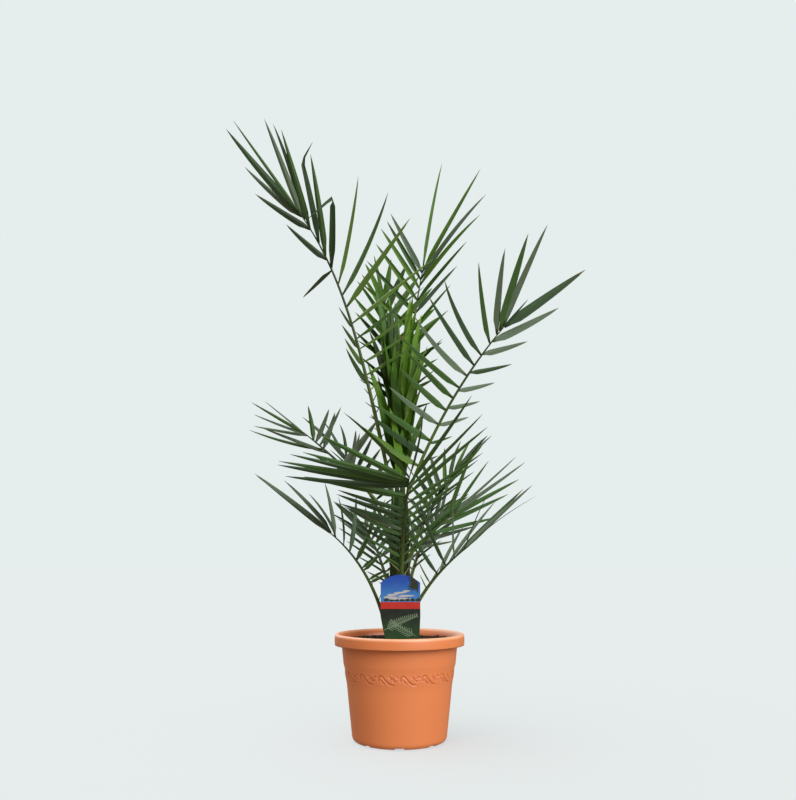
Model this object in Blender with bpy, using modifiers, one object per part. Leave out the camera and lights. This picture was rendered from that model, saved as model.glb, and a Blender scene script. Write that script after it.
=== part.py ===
"""A young canary island date palm in a clay-coloured pot, as solids at real size.

The pot, the soil, the plant label and the short stem are turned or extruded shapes.
Each frond is two solids: a stalk that leaves the stem, and a thin blade of the frond's
outline, whose left and right edges run through the tips of its leaflets.
The origin is the middle of the pot's underside, +Z is up, and +X is to the right of
someone who stands at -Y and faces the plant. Units are metres.
"""

import math
from dataclasses import dataclass

import bmesh
import bpy
import numpy as np

GAP = 0.0003  # clearance between touching pieces

# Pot
RIM_RADIUS = 0.120
RIM_TOP = 0.186
RIM_BAND_BOTTOM = 0.1655
RIM_ROUNDING = 0.005
RIM_MOUTH_RADIUS = 0.1095
BODY_TOP_RADIUS = 0.1040
FRIEZE_TOP = (0.0988, 0.115)  # radius and height of the wall at the top of the frieze band
FRIEZE_FOOT = (0.0957, 0.103)
BODY_FOOT_RADIUS = 0.0855
FOOT_ROUNDING = 0.010
WALL = 0.0022
FOLD_THICKNESS = 0.0025  # the rim band is a fold, open underneath
FLOOR_THICKNESS = 0.0052
POT_STEPS = 48
DRAIN_HOLES = 8
DRAIN_HOLE_RADIUS = 0.005
DRAIN_CIRCLE_RADIUS = 0.055
FOOT_NOTCH_WIDTH = 0.016
FOOT_NOTCH_HEIGHT = 0.0033
FOOT_NOTCH_INNER_RADIUS = 0.064

# Soil
SOIL_TOP = 0.175
SOIL_TOP_RADIUS = 0.1055

# Stem
STEM_PROFILE = (  # radius, and height above the soil
    (0.0205, 0.0),
    (0.0175, 0.030),
    (0.0150, 0.080),
    (0.0130, 0.160),
    (0.0110, 0.240),
    (0.0090, 0.272),
)
STEM_CROWN_HEIGHT = 0.280  # above the soil
STEM_STEPS = 20

# Plant label, a card on a stake
LABEL_WIDTH = 0.074
LABEL_FOOT_WIDTH = 0.060
LABEL_TOP = 0.293
LABEL_ARCH = 0.014
LABEL_SHOULDER = 0.226  # height where the card starts to narrow
LABEL_THICKNESS = 0.0012
LABEL_X = 0.0018
LABEL_Y = -0.058
STAKE_WIDTH = 0.022
STAKE_DEPTH = 0.045

# Fronds
PATH_STEPS = 60
BLADE_ROWS = 8
BLADE_THICKNESS = 0.0020
STALK_RADIUS = 0.0029
STALK_TIP_RADIUS = 0.0017
STALK_POINTS = 7
SPEAR_RADIUS = 0.0045  # the two young spears stand this far from the stem's axis
STALK_END_CLEARANCE = 0.0005
SECTOR_TRIM_STEP = 0.96


@dataclass(frozen=True)
class Frond:
    """One frond's growth. Angles are in degrees, lengths in metres.

    azimuth      the way it leans, counted from +X towards +Y
    foot         height where it leaves the stem
    rise         elevation of the midrib at its foot and at its end
    bend         how late the midrib bends: 1 is an even arc
    length       length of the midrib, without the end leaflets
    bare         share of the midrib that carries no leaflets
    roll         turn of the blade about its midrib
    lift         how far the left and the right leaflets stand up from a flat blade
    left_angle, left_length, right_angle, right_length
                 leaflet angle from the midrib and leaflet length, at even steps along the blade
    end          length of the end leaflet
    sector       azimuths that the blade keeps between, clear of its neighbours
    """

    name: str
    azimuth: float
    foot: float
    rise: tuple
    bend: float
    length: float
    bare: float
    roll: float
    lift: tuple
    left_angle: tuple
    left_length: tuple
    right_angle: tuple
    right_length: tuple
    end: float
    sector: tuple
    ripe: bool = True


EVEN_ANGLE = (70, 60, 45, 15)

FRONDS = (
    Frond(
        "frond_tall_left", azimuth=195, foot=0.440, rise=(77, 52), bend=3.0, length=0.60,
        bare=0.38, roll=45, lift=(10, 35),
        left_angle=(80, 70, 20, 5), left_length=(0.12, 0.21, 0.225, 0.23),
        right_angle=(48, 45, 46, 14), right_length=(0.12, 0.10, 0.20, 0.235),
        end=0.22, sector=(150, 268),
    ),
    Frond(
        "frond_tall_right", azimuth=60, foot=0.430, rise=(90, 70), bend=1.0, length=0.52,
        bare=0.38, roll=0, lift=(15, 15),
        left_angle=(60, 50, 44, 28), left_length=(0.10, 0.18, 0.22, 0.22),
        right_angle=(62, 52, 48, 24), right_length=(0.08, 0.12, 0.19, 0.27),
        end=0.30, sector=(24, 82),
    ),
    Frond(
        "frond_tall_back", azimuth=105, foot=0.400, rise=(86, 60), bend=1.5, length=0.50,
        bare=0.40, roll=0, lift=(20, 20),
        left_angle=EVEN_ANGLE, left_length=(0.08, 0.15, 0.17, 0.16),
        right_angle=EVEN_ANGLE, right_length=(0.08, 0.15, 0.17, 0.16),
        end=0.16, sector=(84, 148),
    ),
    Frond(
        "frond_right", azimuth=-15, foot=0.435, rise=(68, 48), bend=1.2, length=0.385,
        bare=0.12, roll=-45, lift=(5, 5),
        left_angle=(54, 54, 42, 10), left_length=(0.04, 0.08, 0.10, 0.20),
        right_angle=(84, 82, 70, 18), right_length=(0.13, 0.14, 0.18, 0.21),
        end=0.20, sector=(-85, 22),
    ),
    Frond(
        "frond_mid_left", azimuth=175, foot=0.395, rise=(52, 38), bend=0.8, length=0.245,
        bare=0.15, roll=60, lift=(10, 10),
        left_angle=(95, 95, 80, 30), left_length=(0.07, 0.09, 0.08, 0.08),
        right_angle=(26, 26, 22, 6), right_length=(0.06, 0.12, 0.165, 0.125),
        end=0.11, sector=(153, 185),
    ),
    Frond(
        "frond_mid_right", azimuth=0, foot=0.325, rise=(45, 42), bend=0.8, length=0.125,
        bare=0.10, roll=-50, lift=(10, 10),
        left_angle=(46, 42, 28, 14), left_length=(0.09, 0.14, 0.165, 0.165),
        right_angle=(70, 60, 50, 12), right_length=(0.08, 0.12, 0.135, 0.13),
        end=0.16, sector=(-11, 16),
    ),
    Frond(
        "frond_front", azimuth=275, foot=0.185, rise=(84, 25), bend=1.3, length=0.335,
        bare=0.35, roll=0, lift=(10, 10),
        left_angle=(52, 52, 50, 20), left_length=(0.10, 0.14, 0.18, 0.22),
        right_angle=(66, 78, 86, 40), right_length=(0.08, 0.125, 0.22, 0.20),
        end=0.16, sector=(237, 321),
    ),
    Frond(
        "frond_low_left", azimuth=202, foot=0.180, rise=(77, 35), bend=1.2, length=0.232,
        bare=0.42, roll=0, lift=(45, 50),
        left_angle=(90, 72, 50, 10), left_length=(0.045, 0.10, 0.115, 0.15),
        right_angle=(92, 85, 58, 8), right_length=(0.05, 0.08, 0.14, 0.165),
        end=0.165, sector=(190, 236),
    ),
    Frond(
        "frond_low_right", azimuth=-26, foot=0.205, rise=(75, 34), bend=0.6, length=0.185,
        bare=0.40, roll=-10, lift=(35, 35),
        left_angle=(60, 50, 25, 4), left_length=(0.06, 0.12, 0.165, 0.15),
        right_angle=(70, 70, 62, 30), right_length=(0.06, 0.16, 0.15, 0.12),
        end=0.155, sector=(-40, -12),
    ),
    Frond(
        "frond_back_mid_left", azimuth=140, foot=0.330, rise=(72, 38), bend=1.0, length=0.26,
        bare=0.35, roll=0, lift=(25, 25),
        left_angle=EVEN_ANGLE, left_length=(0.05, 0.11, 0.12, 0.12),
        right_angle=EVEN_ANGLE, right_length=(0.05, 0.11, 0.12, 0.12),
        end=0.12, sector=(125, 152),
    ),
    Frond(
        "frond_back_mid_right", azimuth=35, foot=0.300, rise=(72, 42), bend=1.0, length=0.23,
        bare=0.35, roll=0, lift=(25, 25),
        left_angle=EVEN_ANGLE, left_length=(0.05, 0.10, 0.11, 0.10),
        right_angle=EVEN_ANGLE, right_length=(0.05, 0.10, 0.11, 0.10),
        end=0.10, sector=(17, 48),
    ),
    Frond(
        "frond_back_low_left", azimuth=112, foot=0.195, rise=(70, 25), bend=1.0, length=0.26,
        bare=0.35, roll=0, lift=(25, 25),
        left_angle=EVEN_ANGLE, left_length=(0.05, 0.10, 0.12, 0.12),
        right_angle=EVEN_ANGLE, right_length=(0.05, 0.10, 0.12, 0.12),
        end=0.13, sector=(91, 124),
    ),
    Frond(
        "frond_back_low_right", azimuth=66, foot=0.220, rise=(68, 24), bend=1.0, length=0.26,
        bare=0.35, roll=0, lift=(25, 25),
        left_angle=EVEN_ANGLE, left_length=(0.05, 0.10, 0.12, 0.12),
        right_angle=EVEN_ANGLE, right_length=(0.05, 0.10, 0.12, 0.12),
        end=0.13, sector=(49, 90),
    ),
    Frond(
        "spear_left", azimuth=170, foot=0.4556, rise=(89, 83), bend=1.0, length=0.22,
        bare=0.22, roll=0, lift=(10, 10),
        left_angle=(14, 12, 9, 4), left_length=(0.12, 0.17, 0.19, 0.19),
        right_angle=(14, 12, 9, 4), right_length=(0.12, 0.17, 0.19, 0.19),
        end=0.19, sector=(130, 230), ripe=False,
    ),
    Frond(
        "spear_right", azimuth=-5, foot=0.4556, rise=(89, 86), bend=1.0, length=0.20,
        bare=0.22, roll=0, lift=(10, 10),
        left_angle=(14, 12, 9, 4), left_length=(0.12, 0.15, 0.16, 0.16),
        right_angle=(14, 12, 9, 4), right_length=(0.12, 0.15, 0.16, 0.16),
        end=0.16, sector=(-60, 40), ripe=False,
    ),
)


def clear_scene():
    """Remove the objects of the startup scene."""
    for obj in list(bpy.data.objects):
        bpy.data.objects.remove(obj, do_unlink=True)


def new_collection(name, hidden=False):
    """A collection in the scene; cutters go in one that is left out of renders."""
    collection = bpy.data.collections.new(name)
    collection.hide_render = hidden
    bpy.context.scene.collection.children.link(collection)
    return collection


def material(name, colour, roughness):
    """A Principled material in one colour."""
    made = bpy.data.materials.get(name) or bpy.data.materials.new(name)
    made.use_nodes = True
    shader = made.node_tree.nodes["Principled BSDF"]
    shader.inputs["Base Color"].default_value = (*colour, 1.0)
    shader.inputs["Roughness"].default_value = roughness
    shader.inputs["Metallic"].default_value = 0.0
    return made


def add_object(name, data, collection, finish=None):
    """Link an object made from mesh or curve data."""
    obj = bpy.data.objects.new(name, data)
    if finish is not None:
        data.materials.append(finish)
    collection.objects.link(obj)
    return obj


def turned(name, profile, steps, collection, finish=None):
    """A solid of revolution: the profile is (radius, height) pairs down its outer side."""
    mesh = bpy.data.meshes.new(name)
    points = [(radius, 0.0, height) for radius, height in profile]
    edges = [(i, i + 1) for i in range(len(points) - 1)]
    mesh.from_pydata(points, edges, [])
    obj = add_object(name, mesh, collection, finish)
    screw = obj.modifiers.new("turn", "SCREW")
    screw.steps = steps
    screw.render_steps = steps
    screw.use_merge_vertices = True
    screw.merge_threshold = 0.00005
    screw.use_smooth_shade = True
    return obj


def arc(centre, radius, start, end, count):
    """Points of an arc in the profile plane, from the start to the end angle in degrees."""
    angles = [math.radians(start + (end - start) * i / count) for i in range(count + 1)]
    return [(centre[0] + radius * math.cos(a), centre[1] + radius * math.sin(a)) for a in angles]


def cut(obj, cutter, name):
    """Subtract the cutter from the object."""
    cutter.hide_render = True
    cutter.display_type = "WIRE"
    boolean = obj.modifiers.new(name, "BOOLEAN")
    boolean.operation = "DIFFERENCE"
    boolean.solver = "EXACT"
    boolean.object = cutter


def box_mesh(name, low, high):
    """A box mesh between two corners."""
    mesh = bpy.data.meshes.new(name)
    shape = bmesh.new()
    bmesh.ops.create_cube(shape, size=1.0)
    for vertex in shape.verts:
        for axis in range(3):
            vertex.co[axis] = low[axis] if vertex.co[axis] < 0 else high[axis]
    shape.to_mesh(mesh)
    shape.free()
    return mesh


def rod_mesh(name, radius, length):
    """An upright rod mesh round the origin."""
    mesh = bpy.data.meshes.new(name)
    shape = bmesh.new()
    bmesh.ops.create_cone(shape, cap_ends=True, segments=12, radius1=radius, radius2=radius, depth=length)
    shape.to_mesh(mesh)
    shape.free()
    return mesh


def build_pot(parts, cutters):
    """The pot: tapered wall, folded rim band, rounded foot, drain holes and foot notches."""
    fold = RIM_RADIUS - FOLD_THICKNESS
    inner = inside_of_pot(0.0)
    lip = [(RIM_MOUTH_RADIUS, RIM_TOP - 0.0015), (RIM_MOUTH_RADIUS + 0.0015, RIM_TOP)]
    shoulder = arc((RIM_RADIUS - RIM_ROUNDING, RIM_TOP - RIM_ROUNDING), RIM_ROUNDING, 90, 0, 3)
    band = [
        (RIM_RADIUS, RIM_BAND_BOTTOM + 0.001),
        (RIM_RADIUS - 0.001, RIM_BAND_BOTTOM),
        (fold, RIM_BAND_BOTTOM),
        (fold, RIM_TOP - 0.0075),
        (BODY_TOP_RADIUS + 0.003, RIM_TOP - 0.0090),
        (BODY_TOP_RADIUS, RIM_BAND_BOTTOM - 0.004),
        FRIEZE_TOP,
        FRIEZE_FOOT,
    ]
    foot = arc((BODY_FOOT_RADIUS - FOOT_ROUNDING, FOOT_ROUNDING), FOOT_ROUNDING, 0, -90, 3)
    profile = inner + lip + shoulder + band + foot + [(0.0, 0.0)]
    pot = turned("pot", profile, POT_STEPS, parts, material("clay_plastic", (0.62, 0.27, 0.13), 0.5))
    for index in range(DRAIN_HOLES):
        turn = 2.0 * math.pi * index / DRAIN_HOLES
        hole = add_object(f"drain_hole_{index}", rod_mesh("drain_hole", DRAIN_HOLE_RADIUS, 0.02), cutters)
        between = turn + math.pi / DRAIN_HOLES
        hole.location.x = DRAIN_CIRCLE_RADIUS * math.cos(between)
        hole.location.y = DRAIN_CIRCLE_RADIUS * math.sin(between)
        cut(pot, hole, f"drain_{index}")
        low = (FOOT_NOTCH_INNER_RADIUS, -FOOT_NOTCH_WIDTH / 2, -0.01)
        high = (RIM_RADIUS, FOOT_NOTCH_WIDTH / 2, FOOT_NOTCH_HEIGHT)
        notch = add_object(f"foot_notch_{index}", box_mesh("foot_notch", low, high), cutters)
        notch.rotation_euler = (0.0, 0.0, turn + math.pi / 2)
        cut(pot, notch, f"notch_{index}")
    return pot


def inside_of_pot(inset):
    """The pot's inner profile from the middle of its floor up, drawn in by an inset."""
    return [
        (0.0, FLOOR_THICKNESS + inset),
        (BODY_FOOT_RADIUS - FOOT_ROUNDING - inset, FLOOR_THICKNESS + inset),
        (BODY_FOOT_RADIUS - WALL - inset, FOOT_ROUNDING + inset),
        (FRIEZE_FOOT[0] - WALL - inset, FRIEZE_FOOT[1] + inset),
        (FRIEZE_TOP[0] - WALL - inset, FRIEZE_TOP[1] + inset),
        (BODY_TOP_RADIUS - WALL - inset, RIM_BAND_BOTTOM),
        (SOIL_TOP_RADIUS - inset, SOIL_TOP),
    ]


def build_soil(parts, cutters):
    """The soil that fills the pot, with a slot for the label's stake."""
    profile = inside_of_pot(GAP)[::-1]
    profile.insert(0, (0.0, SOIL_TOP))
    soil = turned("soil", profile, POT_STEPS, parts, material("peat", (0.035, 0.024, 0.018), 0.95))
    half_width = STAKE_WIDTH / 2 + GAP
    half_depth = LABEL_THICKNESS / 2 + GAP
    low = (LABEL_X - half_width, LABEL_Y - half_depth, SOIL_TOP - STAKE_DEPTH - GAP)
    high = (LABEL_X + half_width, LABEL_Y + half_depth, SOIL_TOP + 0.01)
    slot = add_object("label_slot", box_mesh("label_slot", low, high), cutters)
    cut(soil, slot, "slot")
    return soil


def build_label(parts):
    """The plant label: an arched card that narrows to the soil and a stake below it."""
    foot = SOIL_TOP + GAP
    half = LABEL_WIDTH / 2
    arch = []
    for step in range(9):
        share = 1.0 - step / 4.0
        arch.append((half * share, LABEL_TOP - LABEL_ARCH * share * share))
    outline = [
        (STAKE_WIDTH / 2, SOIL_TOP - STAKE_DEPTH),
        (STAKE_WIDTH / 2, foot),
        (LABEL_FOOT_WIDTH / 2, foot),
        (half, LABEL_SHOULDER),
        *arch,
        (-half, LABEL_SHOULDER),
        (-LABEL_FOOT_WIDTH / 2, foot),
        (-STAKE_WIDTH / 2, foot),
        (-STAKE_WIDTH / 2, SOIL_TOP - STAKE_DEPTH),
    ]
    curve = bpy.data.curves.new("plant_label", "CURVE")
    curve.dimensions = "2D"
    curve.fill_mode = "BOTH"
    curve.extrude = LABEL_THICKNESS / 2
    spline = curve.splines.new("POLY")
    spline.points.add(len(outline) - 1)
    for point, (x, z) in zip(spline.points, outline):
        point.co = (x, z, 0.0, 1.0)
    spline.use_cyclic_u = True
    label = add_object("plant_label", curve, parts, material("label_card", (0.05, 0.16, 0.32), 0.35))
    label.rotation_euler = (math.pi / 2, 0.0, 0.0)
    label.location = (LABEL_X, LABEL_Y, 0.0)
    return label


def stem_radius(height):
    """Radius of the stem at a height above the pot's underside."""
    radii, heights = zip(*STEM_PROFILE)
    return float(np.interp(height - SOIL_TOP, heights, radii))


def build_stem(parts):
    """The stem: a true taper from a flat cut on the soil to a blunt crown."""
    foot = SOIL_TOP + GAP
    profile = [(0.0, SOIL_TOP + STEM_CROWN_HEIGHT)]
    profile.append((STEM_PROFILE[-1][0] - 0.002, SOIL_TOP + STEM_CROWN_HEIGHT))
    profile += [(radius, foot + height) for radius, height in reversed(STEM_PROFILE)]
    profile.append((0.0, foot))
    return turned("stem", profile, STEM_STEPS, parts, material("leaf_base_brown", (0.36, 0.25, 0.12), 0.85))


@dataclass
class Midrib:
    """Points of a frond's midrib with the directions along it and across its blade."""

    share: np.ndarray
    points: np.ndarray
    along: np.ndarray
    across: np.ndarray
    up: np.ndarray

    def at(self, share):
        """The point and the three directions at a share of the midrib's length."""
        fields = (self.points, self.along, self.across, self.up)
        return [np.array([np.interp(share, self.share, field[:, i]) for i in range(3)]) for field in fields]


def foot_radius(frond):
    """Distance of a stalk's foot from the stem's axis: against the stem, or on its crown."""
    if frond.foot > SOIL_TOP + STEM_CROWN_HEIGHT:
        return SPEAR_RADIUS
    rise = math.radians(frond.rise[0])
    return stem_radius(frond.foot) + GAP + STALK_RADIUS * math.sin(rise)


def midrib(frond):
    """Follow the midrib: its elevation changes from the first to the second rise angle."""
    share = np.linspace(0.0, 1.0, PATH_STEPS + 1)
    rise = np.radians(frond.rise[0] + (frond.rise[1] - frond.rise[0]) * share**frond.bend)
    heading = math.radians(frond.azimuth)
    level = np.array([math.cos(heading), math.sin(heading), 0.0])
    along = np.cos(rise)[:, None] * level + np.sin(rise)[:, None] * np.array([0.0, 0.0, 1.0])
    steps = 0.5 * (along[1:] + along[:-1]) * frond.length / PATH_STEPS
    start = foot_radius(frond) * level + np.array([0.0, 0.0, frond.foot])
    points = np.vstack([start, start + np.cumsum(steps, axis=0)])
    side = np.broadcast_to(np.array([-math.sin(heading), math.cos(heading), 0.0]), along.shape)
    normal = np.cross(along, side)
    roll = math.radians(frond.roll)
    across = math.cos(roll) * side + math.sin(roll) * normal
    up = math.cos(roll) * normal - math.sin(roll) * side
    return Midrib(share, points, along, across, up)


def even(values, share):
    """A value from an evenly spaced list at a share of the blade."""
    return float(np.interp(share, np.linspace(0.0, 1.0, len(values)), values))


def in_sector(frond, tip):
    """Whether a leaflet tip keeps inside the frond's own sector of the crown."""
    turn = math.degrees(math.atan2(tip[1], tip[0])) - frond.azimuth
    turn = (turn + 180.0) % 360.0 - 180.0
    return frond.sector[0] - frond.azimuth <= turn <= frond.sector[1] - frond.azimuth


def leaflet_tip(frond, rib, share, side):
    """Where the leaflet at a share of the blade ends, on the left (+1) or the right (-1)."""
    if side > 0:
        angles, lengths, lift = frond.left_angle, frond.left_length, math.radians(frond.lift[0])
    else:
        angles, lengths, lift = frond.right_angle, frond.right_length, math.radians(frond.lift[1])
    angle = math.radians(even(angles, share))
    length = even(lengths, share)
    point, along, across, up = rib.at(frond.bare + (1.0 - frond.bare) * share)
    sideways = math.cos(lift) * side * across + math.sin(lift) * up
    direction = math.cos(angle) * along + math.sin(angle) * sideways
    while length > 0.01 and not in_sector(frond, point + length * direction):
        length *= SECTOR_TRIM_STEP
    return point, point + length * direction


def build_stalk(frond, rib, parts, finish):
    """The stalk of a frond: a tapered tube along the bare part of its midrib."""
    curve = bpy.data.curves.new(f"{frond.name}_stalk", "CURVE")
    curve.dimensions = "3D"
    curve.bevel_depth = 1.0
    curve.bevel_resolution = 1
    curve.use_fill_caps = True
    spline = curve.splines.new("POLY")
    spline.points.add(STALK_POINTS - 1)
    last = frond.bare - STALK_END_CLEARANCE / frond.length
    for index, point in enumerate(spline.points):
        share = index / (STALK_POINTS - 1)
        point.co = (*rib.at(last * share)[0], 1.0)
        point.radius = STALK_RADIUS + (STALK_TIP_RADIUS - STALK_RADIUS) * share
    return add_object(f"{frond.name}_stalk", curve, parts, finish)


def build_blade(frond, rib, parts, finish):
    """The blade of a frond: a thin folded sheet from its left to its right leaflet tips."""
    rows = []
    for index in range(BLADE_ROWS):
        share = index / (BLADE_ROWS - 1)
        point, left = leaflet_tip(frond, rib, share, 1)
        right = leaflet_tip(frond, rib, share, -1)[1]
        rows.append([left, (left + point) / 2, point, (point + right) / 2, right])
    point, along = rib.at(1.0)[:2]
    vertices = [vertex for row in rows for vertex in row]
    vertices.append(point + frond.end * along)
    faces = []
    for row in range(BLADE_ROWS - 1):
        for column in range(4):
            first = 5 * row + column
            faces.append((first, first + 1, first + 6, first + 5))
    last = 5 * (BLADE_ROWS - 1)
    for column in range(4):
        faces.append((last + column, last + column + 1, len(vertices) - 1))
    mesh = bpy.data.meshes.new(f"{frond.name}_blade")
    mesh.from_pydata([tuple(vertex) for vertex in vertices], [], faces)
    mesh.update()
    blade = add_object(f"{frond.name}_blade", mesh, parts, finish)
    thicken = blade.modifiers.new("thickness", "SOLIDIFY")
    thicken.thickness = BLADE_THICKNESS
    thicken.offset = 0.0
    return blade


def main():
    """Build every solid."""
    clear_scene()
    parts = new_collection("date_palm_in_pot")
    cutters = new_collection("cutters", hidden=True)
    build_pot(parts, cutters)
    build_soil(parts, cutters)
    build_label(parts)
    build_stem(parts)
    stalk_green = material("stalk_green", (0.42, 0.46, 0.20), 0.5)
    leaf_green = material("leaf_green", (0.09, 0.17, 0.06), 0.5)
    young_green = material("young_leaf_green", (0.23, 0.38, 0.09), 0.45)
    for frond in FRONDS:
        rib = midrib(frond)
        build_stalk(frond, rib, parts, stalk_green)
        build_blade(frond, rib, parts, leaf_green if frond.ripe else young_green)


if __name__ == "__main__":
    main()
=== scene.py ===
"""Looks of a young canary island date palm in its clay-coloured pot.

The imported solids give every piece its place. Lengths are in metres, +Z is up, the label faces
-Y and +X is to the right of someone who faces the label. Each class below is one sub-assembly
of the plant or its pot: it works its surfaces out as numpy grids and dresses them.
"""

from __future__ import annotations

import logging
import math
from dataclasses import dataclass
from enum import Enum

import bpy
import numpy as np
from bpy.types import Material, Node, NodeSocket, Object
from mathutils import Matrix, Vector


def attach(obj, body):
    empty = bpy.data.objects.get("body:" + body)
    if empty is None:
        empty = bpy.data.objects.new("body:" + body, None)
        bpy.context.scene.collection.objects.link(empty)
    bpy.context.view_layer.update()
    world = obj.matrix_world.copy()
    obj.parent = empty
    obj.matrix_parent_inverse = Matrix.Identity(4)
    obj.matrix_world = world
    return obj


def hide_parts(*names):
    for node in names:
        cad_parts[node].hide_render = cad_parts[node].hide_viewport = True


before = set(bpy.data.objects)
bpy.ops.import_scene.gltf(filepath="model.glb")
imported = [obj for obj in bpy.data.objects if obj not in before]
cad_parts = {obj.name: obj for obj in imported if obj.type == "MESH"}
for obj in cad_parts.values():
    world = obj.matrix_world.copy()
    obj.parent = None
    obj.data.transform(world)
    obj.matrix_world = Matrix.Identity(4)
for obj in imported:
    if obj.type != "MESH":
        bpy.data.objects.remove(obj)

LOG = logging.getLogger("date_palm")
ROOT = "root"
PATTERN = "pattern"

UP = np.array([0.0, 0.0, 1.0])
FULL_TURN = 2.0 * math.pi

# Points on a rounded corner of a profile.
ARC_POINTS = 7

# The way that leaflets look for light, and how far they turn a face to it.
LIGHT = np.array([0.15, -0.75, 0.65])
LIGHT_PULL = 0.9

# Steps along a midrib, how far the spears stand off the stem's axis, the length of a full sheath,
# the half axes of a stalk where it leaves the stem, the gap between spines, and the share of
# leaflets whose tips are dry.
MIDRIB_STEPS = 60
HEART_RADIUS = 0.0045
SHEATH = 0.085
STALK_WIDTH = 0.0050
STALK_DEPTH = 0.0036
SPINE_GAP = 0.011
DRIED = 0.18

Array = np.ndarray
Triple = tuple[float, float, float]
Colour = Triple


# --- Meshes ---


@dataclass
class Surface:
    """A mesh as arrays.

    Attributes:
        points: Vertex places, one row each.
        quads: Four vertex numbers for each face.
        uv: Pattern coordinates of each vertex.
        finish: Number of the finish of each face; the first one for all when left out.
    """

    points: Array
    quads: Array
    uv: Array
    finish: Array | None = None

    def __post_init__(self) -> None:
        """Give every face the first finish where none is named."""
        if self.finish is None:
            self.finish = np.zeros(len(self.quads), dtype=int)

    @staticmethod
    def joined(parts: list[Surface]) -> Surface:
        """Join surfaces into one.

        Args:
            parts: The surfaces to join.

        Returns:
            One surface that holds all of them.
        """
        offsets = np.cumsum([0] + [len(part.points) for part in parts[:-1]])
        return Surface(
            np.concatenate([part.points for part in parts]),
            np.concatenate([part.quads + offset for part, offset in zip(parts, offsets)]),
            np.concatenate([part.uv for part in parts]),
            np.concatenate([part.finish for part in parts]),
        )

    def to_object(self, name: str, finishes: list[Material], smooth: bool = True, crease: int = 0) -> Object:
        """Make a Blender object of the surface.

        Args:
            name: The piece's name.
            finishes: Materials in the order of the finish numbers.
            smooth: Whether its faces shade as one curved surface.
            crease: Number of vertices round a strip whose lengthwise edges stay sharp, or 0.

        Returns:
            The new object, linked to the scene.
        """
        mesh = bpy.data.meshes.new(name)
        count = len(self.quads)
        mesh.vertices.add(len(self.points))
        mesh.vertices.foreach_set("co", self.points.astype(np.float32).ravel())
        mesh.loops.add(4 * count)
        mesh.loops.foreach_set("vertex_index", self.quads.astype(np.int32).ravel())
        mesh.polygons.add(count)
        mesh.polygons.foreach_set("loop_start", np.arange(0, 4 * count, 4, dtype=np.int32))
        mesh.polygons.foreach_set("material_index", self.finish.astype(np.int32))
        mesh.polygons.foreach_set("use_smooth", np.full(count, smooth))
        layer = mesh.uv_layers.new(name=PATTERN)
        layer.data.foreach_set("uv", self.uv[self.quads.ravel()].astype(np.float32).ravel())
        mesh.update(calc_edges=True)
        if crease:
            ends = np.empty(2 * len(mesh.edges), dtype=np.int32)
            mesh.edges.foreach_get("vertices", ends)
            sharp = mesh.attributes.new("sharp_edge", "BOOLEAN", "EDGE")
            sharp.data.foreach_set("value", np.abs(np.diff(ends.reshape(-1, 2))).ravel() == crease)
        for finish in finishes:
            mesh.materials.append(finish)
        return linked(bpy.data.objects.new(name, mesh))


def linked(item: Object) -> Object:
    """Put an object into the scene and hand it on."""
    bpy.context.scene.collection.objects.link(item)
    return item


def unit(vectors: Array) -> Array:
    """Scale vectors, which lie along the last axis, to length one."""
    return vectors / np.maximum(np.linalg.norm(vectors, axis=-1, keepdims=True), 1e-12)


def smoothstep(low: float, high: float, value: Array) -> Array:
    """Rise smoothly from 0 at low to 1 at high: 3s^2 - 2s^3 with s the clamped share."""
    share = np.clip((value - low) / (high - low), 0.0, 1.0)
    return share * share * (3.0 - 2.0 * share)


def shade(colour: Colour, factor: float) -> Colour:
    """Darken or lighten a colour by a factor, up to white."""
    return tuple(min(1.0, factor * part) for part in colour)


def ring_angles(count: int) -> Array:
    """Space angles evenly round a full turn, from 0."""
    return np.linspace(0.0, FULL_TURN, count, endpoint=False)


def polar(radius: Array | float, angle: Array | float, height: Array | float = 0.0) -> Array:
    """Turn polar places, which broadcast, into points (r cos a, r sin a, z) along a new last axis."""
    return np.stack(np.broadcast_arrays(radius * np.cos(angle), radius * np.sin(angle), height), axis=-1)


def ring_quads(rows: int, columns: int) -> Array:
    """Number the quads of a grid of rows, each of them a ring.

    Args:
        rows: Rows of vertices.
        columns: Vertices in a row.

    Returns:
        Four vertex numbers for each quad, turning outwards for rows that climb.
    """
    grid = np.arange(rows * columns).reshape(rows, columns)
    right = np.roll(grid, -1, axis=1)
    return np.stack([grid[:-1], right[:-1], right[1:], grid[1:]], axis=-1).reshape(-1, 4)


def cap_quads(ring: Array) -> Array:
    """Close rings by quads that run straight across them.

    Args:
        ring: Vertex numbers of each ring along the last axis, an even count, counter-clockwise.

    Returns:
        Four vertex numbers for each quad, facing the way the ring turns counter-clockwise.
    """
    near = np.arange(ring.shape[-1] // 2 - 1)
    far = ring.shape[-1] - 1 - near
    corners = (near, near + 1, far - 1, far)
    return np.stack([ring[..., corner] for corner in corners], axis=-1).reshape(-1, 4)


def capped_rings(rings: Array, share: Array) -> Surface:
    """Skin rings of points into closed bodies.

    Args:
        rings: Bodies, rows, points round the row and coordinates, counter-clockwise about the way on.
        share: Share of the length at each row.

    Returns:
        The closed surface, with (turn, share) as its pattern coordinates.
    """
    bodies, rows, columns = rings.shape[:3]
    first = np.arange(bodies)[:, None] * rows * columns
    ring = first + np.arange(columns)
    sides = (first[:, :, None] + ring_quads(rows, columns)).reshape(-1, 4)
    quads = np.concatenate([sides, cap_quads(ring)[:, ::-1], cap_quads(ring + (rows - 1) * columns)])
    fields = np.broadcast_arrays(np.arange(columns) / columns, share[:, None], rings[..., 0])[:2]
    return Surface(rings.reshape(-1, 3), quads, np.stack(fields, axis=-1).reshape(-1, 2))


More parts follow.
